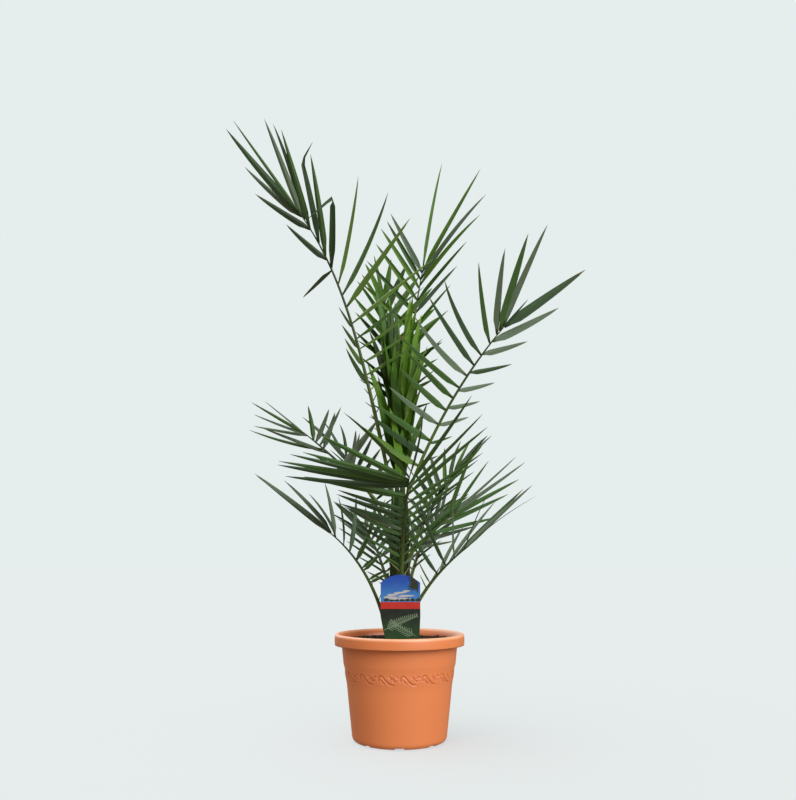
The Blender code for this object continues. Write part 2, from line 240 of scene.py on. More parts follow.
def revolved(profile: Array, steps: int, bulge: Array | float = 0.0) -> Surface:
    """Turn a profile round the Z axis: point = ((r + bulge) cos a, (r + bulge) sin a, z).

    The profile runs up the inside, over the top and down the outside, or down an outer side,
    so that its left-hand side is the solid. Flat caps close it next to the axis.

    Args:
        profile: Radius and height of each profile point.
        steps: Steps round the axis, an even count.
        bulge: Radius to add, one value for each profile point and step, or one for all.

    Returns:
        The closed surface, with (turn, profile share) as its pattern coordinates.
    """
    rings = polar(profile[:, :1] + bulge, ring_angles(steps), profile[:, 1:])
    made = capped_rings(rings[None], np.linspace(0.0, 1.0, len(profile)))
    made.quads = made.quads[:, ::-1]
    return made


def run_length(line: Array) -> Array:
    """Add up the way along a line to each of its points."""
    return np.concatenate([[0.0], np.cumsum(np.linalg.norm(np.diff(line, axis=0), axis=1))])


def resampled(line: Array, length: Array, at: Array) -> Array:
    """Read what is known at points of a line, whose distances along it are given, at others."""
    return np.stack([np.interp(at, length, column) for column in line.T], axis=-1)


def rounded_profile(corners: tuple[Triple, ...], spacing: float) -> Array:
    """Run a line through corners, each rounded by its own radius, in steps of about one size.

    An arc is drawn as the curve (1-s)^2 A + 2s(1-s) C + s^2 B between its two ends A and B
    and the corner C, which lies within a hair of the true arc.

    Args:
        corners: Radius, height and rounding of each corner.
        spacing: Distance between neighbouring profile points.

    Returns:
        Radius and height of each profile point.
    """
    places = np.array(corners)[:, :2]
    runs: list[Array] = [places[:1]]
    for index in range(1, len(corners) - 1):
        corner = places[index]
        before = places[index - 1] - corner
        after = places[index + 1] - corner
        reach = min(corners[index][2], 0.49 * np.linalg.norm(before), 0.49 * np.linalg.norm(after))
        start = corner + unit(before) * reach
        end = corner + unit(after) * reach
        share = np.linspace(0.0, 1.0, ARC_POINTS)[:, None]
        runs.append((1 - share) ** 2 * start + 2 * share * (1 - share) * corner + share**2 * end)
    runs.append(places[-1:])
    rough = np.concatenate(runs)
    length = run_length(rough)
    between = np.arange(0.0, length[-1], spacing)
    at = np.unique(np.round(np.concatenate([length, between]), 5))
    keep = np.concatenate([[True], np.diff(at) > 0.2 * spacing])
    return resampled(rough, length, at[keep])


def stroke_distance(place: Array, line: Array) -> Array:
    """Measure how far places lie from a line of straight strokes.

    Args:
        place: Places in the plane, along the last axis.
        line: The line's corners in order.

    Returns:
        The distance from each place to the nearest stroke.
    """
    start, step = line[:-1], np.diff(line, axis=0)
    offset = place[..., None, :] - start
    share = np.clip((offset * step).sum(-1) / (step * step).sum(-1), 0.0, 1.0)
    return np.linalg.norm(offset - share[..., None] * step, axis=-1).min(-1)


def own(piece: Object, slot: str, *nodes: str) -> Object:
    """Fix a piece to the body and let it stand for CAD nodes.

    Args:
        piece: The finished piece.
        slot: The record's material slot; not used.
        nodes: CAD nodes that the piece replaces.

    Returns:
        The same piece.
    """
    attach(piece, ROOT)
    if nodes:
        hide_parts(*nodes)
    LOG.info("%s: %d faces", piece.name, len(piece.data.polygons))
    return piece


# --- Finishes ---


@dataclass(frozen=True)
class Wire:
    """A number on its way through a shader. Arithmetic on it adds Math nodes."""

    shader: Shader
    socket: NodeSocket

    def _math(self, operation: str, first: object, second: object = 0.0) -> Wire:
        """Add a Math node on one or two values and give its result."""
        node = self.shader.node("ShaderNodeMath", {"operation": operation}, {0: first, 1: second})
        return Wire(self.shader, node.outputs[0])

    def __add__(self, other: object) -> Wire:
        """Add."""
        return self._math("ADD", self, other)

    __radd__ = __add__

    def __mul__(self, other: object) -> Wire:
        """Multiply."""
        return self._math("MULTIPLY", self, other)

    __rmul__ = __mul__

    def __sub__(self, other: object) -> Wire:
        """Subtract the other value."""
        return self._math("SUBTRACT", self, other)

    def __rsub__(self, other: object) -> Wire:
        """Subtract from the other value."""
        return self._math("SUBTRACT", other, self)

    def __abs__(self) -> Wire:
        """Drop the sign."""
        return self._math("ABSOLUTE", self)

    def above(self, level: float, soft: float) -> Wire:
        """Rise from 0 to 1 across a level.

        Args:
            level: The middle of the rise.
            soft: How wide the rise is.

        Returns:
            The clamped share.
        """
        inputs = {"Value": self, "From Min": level - soft / 2, "From Max": level + soft / 2}
        node = self.shader.node("ShaderNodeMapRange", {"interpolation_type": "SMOOTHSTEP"}, inputs)
        return Wire(self.shader, node.outputs["Result"])


class Shader:
    """One material while it is being wired."""

    def __init__(self, name: str, roughness: float, specular: float = 0.5) -> None:
        """Start a material with its Principled shader.

        Args:
            name: The material's name.
            roughness: Roughness where nothing varies it.
            specular: Strength of its plain reflection.
        """
        self.material = bpy.data.materials.new(name)
        self.material.use_nodes = True
        self.tree = self.material.node_tree
        self.principled = self.tree.nodes["Principled BSDF"]
        self.give("Roughness", roughness)
        self.give("Specular IOR Level", specular)

    def node(self, kind: str, settings: dict[str, object], inputs: dict[object, object]) -> Node:
        """Add a node: its settings first, then the values or links of its sockets.

        Args:
            kind: The node's type.
            settings: Properties by name.
            inputs: Values, colours, wires or sockets by input name or number.

        Returns:
            The new node.
        """
        node = self.tree.nodes.new(kind)
        for key, value in settings.items():
            setattr(node, key, value)
        for key, value in inputs.items():
            self.feed(node.inputs[key], value)
        return node

    def feed(self, socket: NodeSocket, value: object) -> None:
        """Set or link an input.

        Args:
            socket: The input.
            value: A number, colour, vector, wire or output socket.
        """
        if isinstance(value, Wire):
            self.tree.links.new(value.socket, socket)
        elif isinstance(value, NodeSocket):
            self.tree.links.new(value, socket)
        elif isinstance(value, tuple) and socket.type == "RGBA":
            socket.default_value = (*value, 1.0)
        else:
            socket.default_value = value

    def place(self, scale: Triple = (1.0, 1.0, 1.0)) -> NodeSocket:
        """Give the place on the piece in its own coordinates, stretched along each axis."""
        source = self.node("ShaderNodeTexCoord", {}, {}).outputs["Object"]
        return self.node("ShaderNodeMapping", {}, {"Vector": source, "Scale": scale}).outputs[0]

    def uv(self) -> NodeSocket:
        """Give the piece's own pattern coordinates."""
        return self.node("ShaderNodeUVMap", {"uv_map": PATTERN}, {}).outputs[0]

    def _part(self, vector: NodeSocket, axis: str) -> Wire:
        """Take one coordinate of a vector, by its name."""
        return Wire(self, self.node("ShaderNodeSeparateXYZ", {}, {"Vector": vector}).outputs[axis])

    def height(self) -> Wire:
        """Give the height above the pot's underside."""
        return self._part(self.place(), "Z")

    def across(self) -> Wire:
        """Give the first pattern coordinate."""
        return self._part(self.uv(), "X")

    def along(self) -> Wire:
        """Give the second pattern coordinate."""
        return self._part(self.uv(), "Y")

    def noise(self, scale: float, detail: float, stretch: Triple = (1.0, 1.0, 1.0)) -> Wire:
        """Add a noise from 0 to 1, by its repeats in a metre, finer layers and stretch."""
        inputs = {"Vector": self.place(stretch), "Scale": scale, "Detail": detail}
        return Wire(self, self.node("ShaderNodeTexNoise", {}, inputs).outputs["Fac"])

    def mix(self, share: object, first: object, second: object) -> NodeSocket:
        """Mix two colours, by the share of the second one."""
        inputs = {"Factor": share, 6: first, 7: second}
        return self.node("ShaderNodeMix", {"data_type": "RGBA"}, inputs).outputs[2]

    def give(self, name: str, value: object) -> None:
        """Feed an input of the Principled shader."""
        self.feed(self.principled.inputs[name], value)

    def paint(self, colour: object) -> None:
        """Feed the base colour."""
        self.give("Base Color", colour)

    def roughen(self, value: object) -> None:
        """Feed the roughness."""
        self.give("Roughness", value)

    def emboss(self, height: Wire, depth: float) -> None:
        """Feed a bump of the given depth in metres."""
        bump = self.node("ShaderNodeBump", {}, {"Height": height, "Distance": depth, "Strength": 1.0})
        self.give("Normal", bump.outputs[0])


@dataclass(frozen=True)
class ClayPlastic:
    """Moulded plastic in a clay colour, a little mottled, with a soft sheen."""

    light: Colour = (0.715, 0.240, 0.088)
    deep: Colour = (0.660, 0.194, 0.064)
    # Painted shade colour for the frieze's grooves and the inside of the pot.
    painted_shade: Colour = (0.520, 0.125, 0.038)
    # Painted highlight colour for the rim's upper outer edge.
    rim_highlight: Colour = (0.880, 0.460, 0.270)
    # Height where the painted rim highlight begins.
    rim: float = 0.1825
    roughness: float = 0.40

    def make(self) -> Material:
        """Wire the material.

        The first pattern coordinate paints shade into the colour in the grooves of the frieze and down the
        inside, and the rim's upper outer edge is painted paler in patches as a painted highlight.

        Returns:
            The material.
        """
        shader = Shader("clay_plastic", self.roughness, 0.70)
        mottle = shader.noise(9.0, 3.0)
        grain = shader.noise(420.0, 2.0)
        # Painted highlight: the rim's upper outer edge is painted paler in noisy patches, kept off the
        # inside.
        highlight_patches = shader.noise(38.0, 5.0, (1.0, 1.0, 0.3))
        painted_rim_highlight = shader.height().above(self.rim, 0.005) * (0.60 + 0.5 * highlight_patches) * (1.0 - shader.across())
        body = shader.mix(painted_rim_highlight, shader.mix(mottle, self.light, self.deep), self.rim_highlight)
        # Painted shade: the frieze's grooves and the inside of the pot are darkened by the first pattern
        # coordinate.
        shader.paint(shader.mix(0.8 * shader.across(), body, self.painted_shade))
        shader.roughen(self.roughness - 0.06 + 0.14 * mottle)
        shader.emboss(grain, 0.00006)
        return shader.material


@dataclass(frozen=True)
class Peat:
    """Dark moist potting soil."""

    name: str = "peat"
    dark: Colour = (0.0055, 0.0040, 0.0028)
    light: Colour = (0.030, 0.019, 0.012)
    roughness: float = 0.93

    def make(self) -> Material:
        """Wire the material.

        Returns:
            The material.
        """
        shader = Shader(self.name, self.roughness, 0.3)
        clods = shader.noise(160.0, 6.0)
        shader.paint(shader.mix(clods.above(0.58, 0.25), self.dark, self.light))
        shader.emboss(clods, 0.0012)
        return shader.material


@dataclass(frozen=True)
class LeafTissue:
    """One side of a leaflet: a green with fine lengthwise veins and a slight mottle."""

    name: str
    colour: Colour
    roughness: float = 0.45
    vein: float = 0.16

    def make(self) -> Material:
        """Wire the material: veins are stripes across the pattern, and the margin is pale.

        Returns:
            The material.
        """
        shader = Shader(self.name, self.roughness, 0.22)
        bands = {"wave_type": "BANDS", "bands_direction": "X", "wave_profile": "SIN"}
        stripes = shader.node("ShaderNodeTexWave", bands, {"Vector": shader.uv(), "Scale": 2.0})
        veins = Wire(shader, stripes.outputs["Fac"])
        mottle = shader.noise(28.0, 3.0)
        pale = shade(self.colour, 1.28)
        tone = shader.mix(self.vein * veins, shader.mix(mottle, shade(self.colour, 0.72), pale), pale)
        margin = abs(shader.across() - 0.5).above(0.46, 0.05)
        shader.paint(shader.mix(0.55 * margin, tone, shade(self.colour, 1.7)))
        shader.roughen(self.roughness - 0.05 + 0.12 * mottle)
        shader.emboss(veins, 0.00005)
        return shader.material


@dataclass(frozen=True)
class Stalk:
    """The smooth skin of a midrib: a dark sheath, a pale stalk, then greener towards its end."""

    name: str
    sheath: Colour
    foot: Colour
    end: Colour
    roughness: float = 0.42

    def make(self) -> Material:
        """Wire the material: the second pattern coordinate runs from the sheath to the end.

        Returns:
            The material.
        """
        shader = Shader(self.name, self.roughness, 0.25)
        streaks = shader.noise(60.0, 4.0, (1.0, 1.0, 0.12))
        lower = shader.mix(shader.along().above(0.15, 0.10), self.sheath, self.foot)
        skin = shader.mix(shader.along().above(0.50, 0.5), lower, self.end)
        shader.paint(shader.mix(0.35 * streaks, skin, shade(self.end, 0.55)))
        shader.emboss(streaks, 0.0002)
        return shader.material


@dataclass(frozen=True)
class LeafBaseFibre:
    """The old leaf bases round the stem: fibrous, brown below and green above."""

    brown: Colour = (0.012, 0.026, 0.005)
    straw: Colour = (0.036, 0.060, 0.012)
    green: Colour = (0.013, 0.045, 0.005)
    turn_height: float = 0.22

    def make(self) -> Material:
        """Wire the material: fibres are noise stretched along the stem.

        Returns:
            The material.
        """
        shader = Shader("leaf_base_fibre", 0.75, 0.3)
        fibres = shader.noise(420.0, 5.0, (1.0, 1.0, 0.05))
        patches = shader.noise(30.0, 3.0)
        bark = shader.mix(fibres.above(0.52, 0.3), self.brown, self.straw)
        fresh = (shader.height() + 0.10 * patches).above(self.turn_height + 0.05, 0.12)
        shader.paint(shader.mix(fresh, bark, shader.mix(0.3 * fibres, self.green, self.straw)))
        shader.emboss(fibres, 0.0008)
        return shader.material


@dataclass(frozen=True)
class PrintedCard:
    """The label's card: a blue field over a red band over a dark green field."""

    band_foot: float
    band_top: float
    sky_low: Colour = (0.036, 0.190, 0.480)
    sky_high: Colour = (0.005, 0.055, 0.360)
    band: Colour = (0.420, 0.020, 0.012)
    field_low: Colour = (0.010, 0.050, 0.012)
    field_high: Colour = (0.005, 0.012, 0.008)
    edge: float = 0.0004

    def make(self) -> Material:
        """Wire the material: each field is a range of heights on the card.

        Returns:
            The material.
        """
        shader = Shader("printed_card", 0.34, 0.30)
        height = shader.height()
        sky = shader.mix(height.above(self.band_top + 0.022, 0.05), self.sky_low, self.sky_high)
        ground = shader.mix(height.above(self.band_foot - 0.03, 0.05), self.field_low, self.field_high)
        lower = shader.mix(height.above(self.band_foot, self.edge), ground, self.band)
        printed = shader.mix(height.above(self.band_top, self.edge), lower, sky)
        wear = shader.noise(90.0, 4.0)
        shader.paint(shader.mix(0.03 * wear, printed, (0.5, 0.5, 0.5)))
        shader.roughen(0.28 + 0.16 * wear)
        return shader.material


@dataclass(frozen=True)
class PlainInk:
    """One printed colour with a faint grain."""

    name: str
    colour: Colour
    roughness: float = 0.4

    def make(self) -> Material:
        """Wire the material.

        Returns:
            The material.
        """
        shader = Shader(self.name, self.roughness, 0.4)
        grain = shader.noise(300.0, 2.0)
        shader.paint(shader.mix(0.3 * grain, self.colour, shade(self.colour, 0.6)))
        return shader.material


# --- Strips and tubes ---


def tube(line: Array, across: Array, up: Array, width: Array, depth: Array, sides: int) -> Surface:
    """Carry an ellipse along a line: point = line + cos a * width * across + sin a * depth * up.

    Args:
        line: Points of the line.
        across: Direction of the ellipse's first half axis at each point.
        up: Direction of its second half axis; across, up and the way on are right-handed.
        width: First half axis at each point.
        depth: Second half axis at each point.
        sides: Points round the ellipse, an even count.

    Returns:
        The closed tube.
    """
    angle = ring_angles(sides)[:, None]
    ring = np.cos(angle) * (width[:, None] * across)[:, None] + np.sin(angle) * (depth[:, None] * up)[:, None]
    return capped_rings((line[:, None] + ring)[None], np.linspace(0.0, 1.0, len(line)))


@dataclass
class Blades:
    """Narrow pointed blades. Each list has one entry for each blade, and one value does for all.

    Attributes:
        foot: Where each starts.
        way: Direction it grows in.
        up: Direction its upper face looks to, roughly.
        length: Length.
        width: Greatest width.
        fold: Steepness of its V in degrees.
        bow: Height of its arc as a share of its length, upwards when positive.
        bend_at: Share of the length where it is snapped; 1 for a whole blade.
        bend_way: Direction beyond the snap.
        thick: Thickness at the keel.
    """

    foot: Array
    way: Array
    up: Array
    length: Array
    width: Array | float
    fold: Array | float = 0.0
    bow: Array | float = 0.0
    bend_at: Array | float = 1.0
    bend_way: Array | None = None
    thick: float = 0.0005

    def __post_init__(self) -> None:
        """Spread single values over all blades, which go straight on where no bend is given."""
        fields = (self.width, self.fold, self.bow, self.bend_at)
        spread = [np.broadcast_to(field, len(self.foot)) for field in fields]
        self.width, self.fold, self.bow, self.bend_at = spread
        if self.bend_way is None:
            self.bend_way = self.way

    def surface(self, rows: int = 13) -> Surface:
        """Skin the blades.

        A row at share t lies at foot + length (min(t, k) way + max(t - k, 0) bend_way) plus the
        arc 4 t (1 - t) bow length along up. Its four points are the right edge, the upper keel,
        the left edge and the lower keel, and its half width is
        width / 2 (0.3 + 0.7 step(t / 0.2)) (1 - t^2.4)^0.8 plus a quarter of a millimetre, which
        keeps the tip from closing to nothing.

        Args:
            rows: Rows along each blade.

        Returns:
            The closed surface; its faces come in runs of four for each row, upper faces first.
        """
        share = np.linspace(0.0, 1.0, rows)
        t = share[None, :, None]
        snap = self.bend_at[:, None, None]
        keel = unit(self.up - (self.up * self.way).sum(-1, keepdims=True) * self.way)
        bent_keel = unit(self.up - (self.up * self.bend_way).sum(-1, keepdims=True) * self.bend_way)
        before = np.minimum(t, snap) * self.way[:, None]
        after = np.maximum(t - snap, 0.0) * self.bend_way[:, None]
        arc = (4.0 * t * (1.0 - t)) * self.bow[:, None, None] * keel[:, None]
        centre = self.foot[:, None] + self.length[:, None, None] * (before + after + arc)
        past = smoothstep(-0.04, 0.04, t - snap)
        way = unit((1.0 - past) * self.way[:, None] + past * self.bend_way[:, None])
        upward = unit((1.0 - past) * keel[:, None] + past * bent_keel[:, None])
        wide = unit(np.cross(upward, way))
        upward = np.cross(way, wide)
        half = self.width[:, None] / 2.0 * (0.3 + 0.7 * smoothstep(0.0, 0.2, share))
        half = half * (1.0 - share**2.4) ** 0.8 + 0.00025
        steep = np.radians(self.fold[:, None])
        out = (half * np.cos(steep))[..., None] * wide
        rise = centre + (half * np.sin(steep))[..., None] * upward
        keel_half = self.thick / 2.0 * (1.0 - 0.7 * t) * upward
        rings = np.stack([rise + out, centre + keel_half, rise - out, centre - keel_half], axis=2)
        made = capped_rings(rings, share)
        made.uv[:, 0] = np.tile([1.0, 0.5, 0.0, 0.5], len(made.uv) // 4)
        return made

    def finishes(self, tone: Array, tip: Array, rows: int = 13) -> Array:
        """Number the finishes: 2 tone for upper faces, 2 tone + 1 for lower ones, then dry tips.

        Args:
            tone: Tone of each blade.
            tip: Share of each blade where its dry tip starts.
            rows: Rows along each blade.

        Returns:
            A finish number for each face of the surface.
        """
        tone = 2 * tone[:, None, None]
        middle = (np.arange(rows - 1)[:, None] + 0.5) / (rows - 1)
        sides = np.where(middle > tip[:, None, None], 2 * len(LeafTone), tone + [0, 0, 1, 1])
        return np.concatenate([sides.ravel(), tone.ravel(), tone.ravel()])


# --- Pot, soil and label ---


@dataclass(frozen=True)
class Pot:
    """The tapered pot: a folded rim band, a carved frieze, a rounded foot and drain holes.

    The frieze's strokes are (half width, corners) in millimetres from the lower left of a repeat:
    hooked scrolls with a leaf spray between them.
    """

    steps: int = 720
    rim_radius: float = 0.120
    rim_top: float = 0.186
    mouth_radius: float = 0.1095
    band_foot: float = 0.1655
    frieze_low: float = 0.1060
    frieze_high: float = 0.1245
    frieze_radius: float = 0.098
    frieze_rows: int = 34
    repeats: int = 16
    relief: float = 0.0010
    stroke_fade: float = 0.7
    frieze_fade: float = 0.0012
    inner_shade: float = 0.7
    outer_run: float = 0.32
    frieze_margin: float = 0.001
    row_gap: float = 0.0003
    strokes: tuple[tuple[float, tuple[tuple[float, float], ...]], ...] = (
        (1.1, ((1.5, 9.0), (1.8, 13.5), (4.0, 16.6), (7.0, 16.8), (9.6, 14.4))),
        (1.1, ((9.6, 14.4), (13.0, 10.4), (17.5, 5.6), (22.5, 2.2), (28.0, 1.6))),
        (0.7, ((21.0, 15.5), (25.5, 11.5), (29.5, 7.0))),
        (0.6, ((25.5, 11.5), (30.5, 13.2))),
        (0.6, ((23.6, 13.2), (22.8, 9.4))),
        (0.6, ((28.0, 8.8), (33.0, 9.4))),
        (0.6, ((32.0, 16.4), (35.0, 14.0))),
        (0.6, ((5.5, 10.6), (8.6, 6.6), (12.4, 3.0))),
    )
    holes: int = 8
    hole_radius: float = 0.005
    hole_circle: float = 0.055
    hole_sides: int = 24
    notch_width: float = 0.016
    notch_height: float = 0.0033
    notch_inner: float = 0.064
    floor: float = 0.0052
    wall: float = 0.0022

    def profile(self) -> Array:
        """Run the profile from the middle of the floor up the inside and down the outside.

        Returns:
            Radius and height of each profile point.
        """
        wall, rim = self.wall, self.rim_radius
        corners = (
            (0.0020, self.floor, 0.0),
            (0.0750, self.floor, 0.004),
            (0.0855 - wall, 0.0100, 0.004),
            (0.0957 - wall, 0.1030, 0.002),
            (0.0988 - wall, 0.1150, 0.002),
            (0.1060 - wall, 0.1655, 0.004),
            (0.1058, 0.1760, 0.003),
            (self.mouth_radius, 0.1825, 0.002),
            (self.mouth_radius + 0.0010, self.rim_top, 0.0016),
            (rim, self.rim_top, 0.0050),
            (rim + 0.0002, 0.1745, 0.004),
            (rim - 0.0004, self.band_foot, 0.0010),
            (rim - 0.0024, self.band_foot, 0.0004),
            (rim - 0.0030, 0.1775, 0.002),
            (0.1085, 0.1770, 0.003),
            (0.1062, 0.1600, 0.002),
            (0.1030, 0.1315, 0.002),
            (0.1008, 0.1262, 0.001),
            (0.1000, 0.1140, 0.002),
            (0.0975, 0.1035, 0.003),
            (0.0968, 0.1005, 0.003),
            (0.0932, 0.0685, 0.004),
            (0.0908, 0.0480, 0.004),
            (0.0874, 0.0205, 0.004),
            (0.0852, 0.0000, 0.0100),
            (0.0020, 0.0000, 0.0),
        )
        return rounded_profile(corners, 0.0042)

    def refined(self) -> Array:
        """Give the profile close rows through the frieze, so that it can carry the relief.

        The outer wall is what lies more than outer_run along the profile and outside the foot.

        Returns:
            The profile with its close rows.
        """
        rough = self.profile()
        length = run_length(rough)
        outer_wall = (rough[:, 0] > 0.0935) & (length > self.outer_run)
        heights = [self.frieze_high + self.frieze_margin, self.frieze_low - self.frieze_margin]
        start, end = np.interp(heights, rough[outer_wall, 1][::-1], length[outer_wall][::-1])
        keep = (length < start - self.row_gap) | (length > end + self.row_gap)
        at = np.sort(np.concatenate([length[keep], np.linspace(start, end, self.frieze_rows)]))
        return resampled(rough, length, at)

    def pattern(self, turn: Array, height: Array) -> Array:
        """Work out the frieze's relief.

        A stroke is 1 within its half width and fades over 0.7 mm beyond it, and the whole frieze
        fades at its upper and lower edge.

        Args:
            turn: Turns round the pot.
            height: Heights.

        Returns:
            The share of the relief's depth, from 0 to 1.
        """
        pitch = FULL_TURN * self.frieze_radius / self.repeats
        above, below = height - self.frieze_low, self.frieze_high - height
        place = 1000.0 * np.stack([turn * self.repeats % 1.0 * pitch, above], axis=-1)
        depth = [
            1.0 - smoothstep(half, half + self.stroke_fade, stroke_distance(place, np.array(line)))
            for half, line in self.strokes
        ]
        inside = smoothstep(0.0, self.frieze_fade, above) * smoothstep(0.0, self.frieze_fade, below)
        return np.max(depth, axis=0) * inside

    def build(self) -> Object:
        """Skin the pot, press the frieze and the foot notches in, and drill the drain holes.

        The first pattern coordinate says how much shade is painted into the colour: in the frieze's
        grooves, and down the inside.

        Returns:
            The pot.
        """
        profile = self.refined()
        row = np.arange(len(profile))[:, None]
        turn, height = np.meshgrid(np.linspace(0.0, 1.0, self.steps, endpoint=False), profile[:, 1])
        outer = (profile[:, :1] > 0.0950) & (row > len(profile) // 2)
        carved = np.where(outer, self.pattern(turn, height), 0.0)
        surface = revolved(profile, self.steps, -self.relief * carved)
        # Painted shade: the grooves and, by inner_shade, the inside walls and floor are marked for darkening.
        painted_shade_share = np.maximum(carved, self.inner_shade * (row < profile[:, 1].argmax()))
        surface.uv = np.stack([painted_shade_share, height / self.rim_top], axis=-1).reshape(-1, 2)
        self._notch(surface.points)
        pot = surface.to_object("pot_body", [ClayPlastic().make()])
        self._drill(pot)
        return own(pot, "pot_plastic", "pot")

    def _notch(self, points: Array) -> None:
        """Raise the underside to the notch height where the foot is notched.

        Args:
            points: The pot's points, changed in place.
        """
        sector = FULL_TURN / self.holes
        angle = np.arctan2(points[:, 1], points[:, 0])
        radius = np.hypot(points[:, 0], points[:, 1])
        off = np.abs((angle + sector / 2.0) % sector - sector / 2.0) * radius
        notched = (off < self.notch_width / 2.0) & (radius > self.notch_inner)
        points[notched, 2] = np.maximum(points[notched, 2], self.notch_height)

    def _drill(self, pot: Object) -> None:
        """Cut the drain holes and keep the result as the pot's mesh.

        Args:
            pot: The pot.
        """
        turn = (np.arange(self.holes) + 0.5) * FULL_TURN / self.holes
        middle = polar(self.hole_circle, turn)[:, None, None]
        ends = UP * np.array([-0.01, 0.01])[:, None, None]
        rings = middle + polar(self.hole_radius, ring_angles(self.hole_sides)) + ends
        drills = capped_rings(rings, np.array([0.0, 1.0])).to_object("drills", [])
        cut = pot.modifiers.new("drain_holes", "BOOLEAN")
        cut.operation = "DIFFERENCE"
        cut.solver = "EXACT"
        cut.object = drills
        bpy.context.view_layer.update()
        cut_mesh = bpy.data.meshes.new_from_object(pot.evaluated_get(bpy.context.evaluated_depsgraph_get()))
        pot.modifiers.clear()
        pot.data = cut_mesh
        bpy.data.objects.remove(drills, do_unlink=True)


@dataclass(frozen=True)
class Soil:
    """The potting soil: an uneven top, loose crumbs on it, and the plug below.

    Attributes:
        top: Highest level of the soil's even surface.
        radius: Radius of the top.
        floor: Height of the plug's underside.
        hub: Radius of the small flat at the middle.
        sunk: How far the mean level lies below the top.
        steps: Steps round the plug.
        rows: Rows across its top.
        waves: Waves that make the top uneven.
        crumbs: Number of crumbs.
        crumb_sides: Sides of a crumb.
        seed: Start of its random series.
    """

    top: float = 0.175
    radius: float = 0.1052
    floor: float = 0.0056
    hub: float = 0.0015
    sunk: float = 0.0012
    steps: int = 200
    rows: int = 60
    waves: int = 40
    crumbs: int = 620
    crumb_sides: int = 6
    seed: int = 11

    def relief(self, place: Array) -> Array:
        """Add up waves of 5 to 40 mm that run every way, each 1.1% of its length high.

        Args:
            place: Points on the level, along the last axis.

        Returns:
            Heights above the mean level.
        """
        rng = np.random.default_rng(self.seed)
        wavelength = rng.uniform(0.005, 0.040, self.waves)
        heading = rng.uniform(0.0, FULL_TURN, self.waves)
        wave = FULL_TURN / wavelength[:, None] * polar(1.0, heading)[:, :2]
        phase = rng.uniform(0.0, FULL_TURN, self.waves)
        return (np.sin(place @ wave.T + phase) * wavelength * 0.011).sum(-1)

    def _crumbs(self) -> Surface:
        """Scatter crumbs: short six-sided lumps, each stretched, turned and squashed its own way.

        Returns:
            The crumbs.
        """
        rng = np.random.default_rng(self.seed + 1)
        count, sides = self.crumbs, self.crumb_sides
        tier = np.array([0.45, 0.95, 1.0, 0.5])[:, None]
        lift = np.array([-0.8, -0.3, 0.35, 0.8])[:, None]
        radius = 0.100 * np.sqrt(rng.uniform(0.02, 1.0, count))
        middle = polar(radius, rng.uniform(0.0, FULL_TURN, count))[:, :2]
        size = (rng.uniform(0.0009, 0.0034, count) * rng.uniform(0.6, 1.0, count))[:, None, None]
        level = (self.top - self.sunk + self.relief(middle))[:, None, None]
        turn = rng.uniform(0.0, FULL_TURN, (count, 1, 1)) + ring_angles(sides)
        rough = rng.uniform(0.7, 1.25, (count, len(tier), sides)) * tier * size
        x = middle[:, :1, None] + rough * np.cos(turn) * rng.uniform(0.7, 1.5, (count, 1, 1))
        y = middle[:, 1:, None] + rough * np.sin(turn)
        rings = np.stack(np.broadcast_arrays(x, y, level + size * 0.8 * lift), axis=-1)
        lumps = capped_rings(rings, np.linspace(0.0, 1.0, len(tier)))
        bark = rng.uniform(size=count) < 0.18
        cap = sides // 2 - 1
        runs = ((len(tier) - 1) * sides, cap, cap)
        lumps.finish = 1 + np.concatenate([np.repeat(bark, faces) for faces in runs])
        return lumps

    def build(self) -> Object:
        """Skin the soil's top and plug, and join the crumbs on.

        Returns:
            The soil.
        """
        reach = np.linspace(self.hub, self.radius - 0.001, self.rows)
        crown = np.stack([reach, np.full(self.rows, self.top)], axis=1)
        below = (
            (self.radius, self.top - 0.002),
            (0.1010, 0.1600),
            (0.0930, 0.1000),
            (0.0825, 0.0110),
            (0.0760, self.floor),
            (self.hub, self.floor),
        )
        plug = revolved(np.concatenate([crown, below]), self.steps)
        on_top = np.arange(len(plug.points)) < self.rows * self.steps
        fade = smoothstep(0.0, 0.004, self.radius - np.hypot(plug.points[:, 0], plug.points[:, 1]))
        plug.points[:, 2] += np.where(on_top, self.relief(plug.points[:, :2]) * fade - self.sunk, 0.0)
        finishes = [
            Peat().make(),
            Peat("peat_crumb", (0.010, 0.0065, 0.004), (0.040, 0.024, 0.014)).make(),
            Peat("bark_crumb", (0.050, 0.026, 0.012), (0.110, 0.065, 0.034)).make(),
        ]
        soil = Surface.joined([plug, self._crumbs()]).to_object("soil_surface", finishes)
        return own(soil, "potting_soil", "soil")


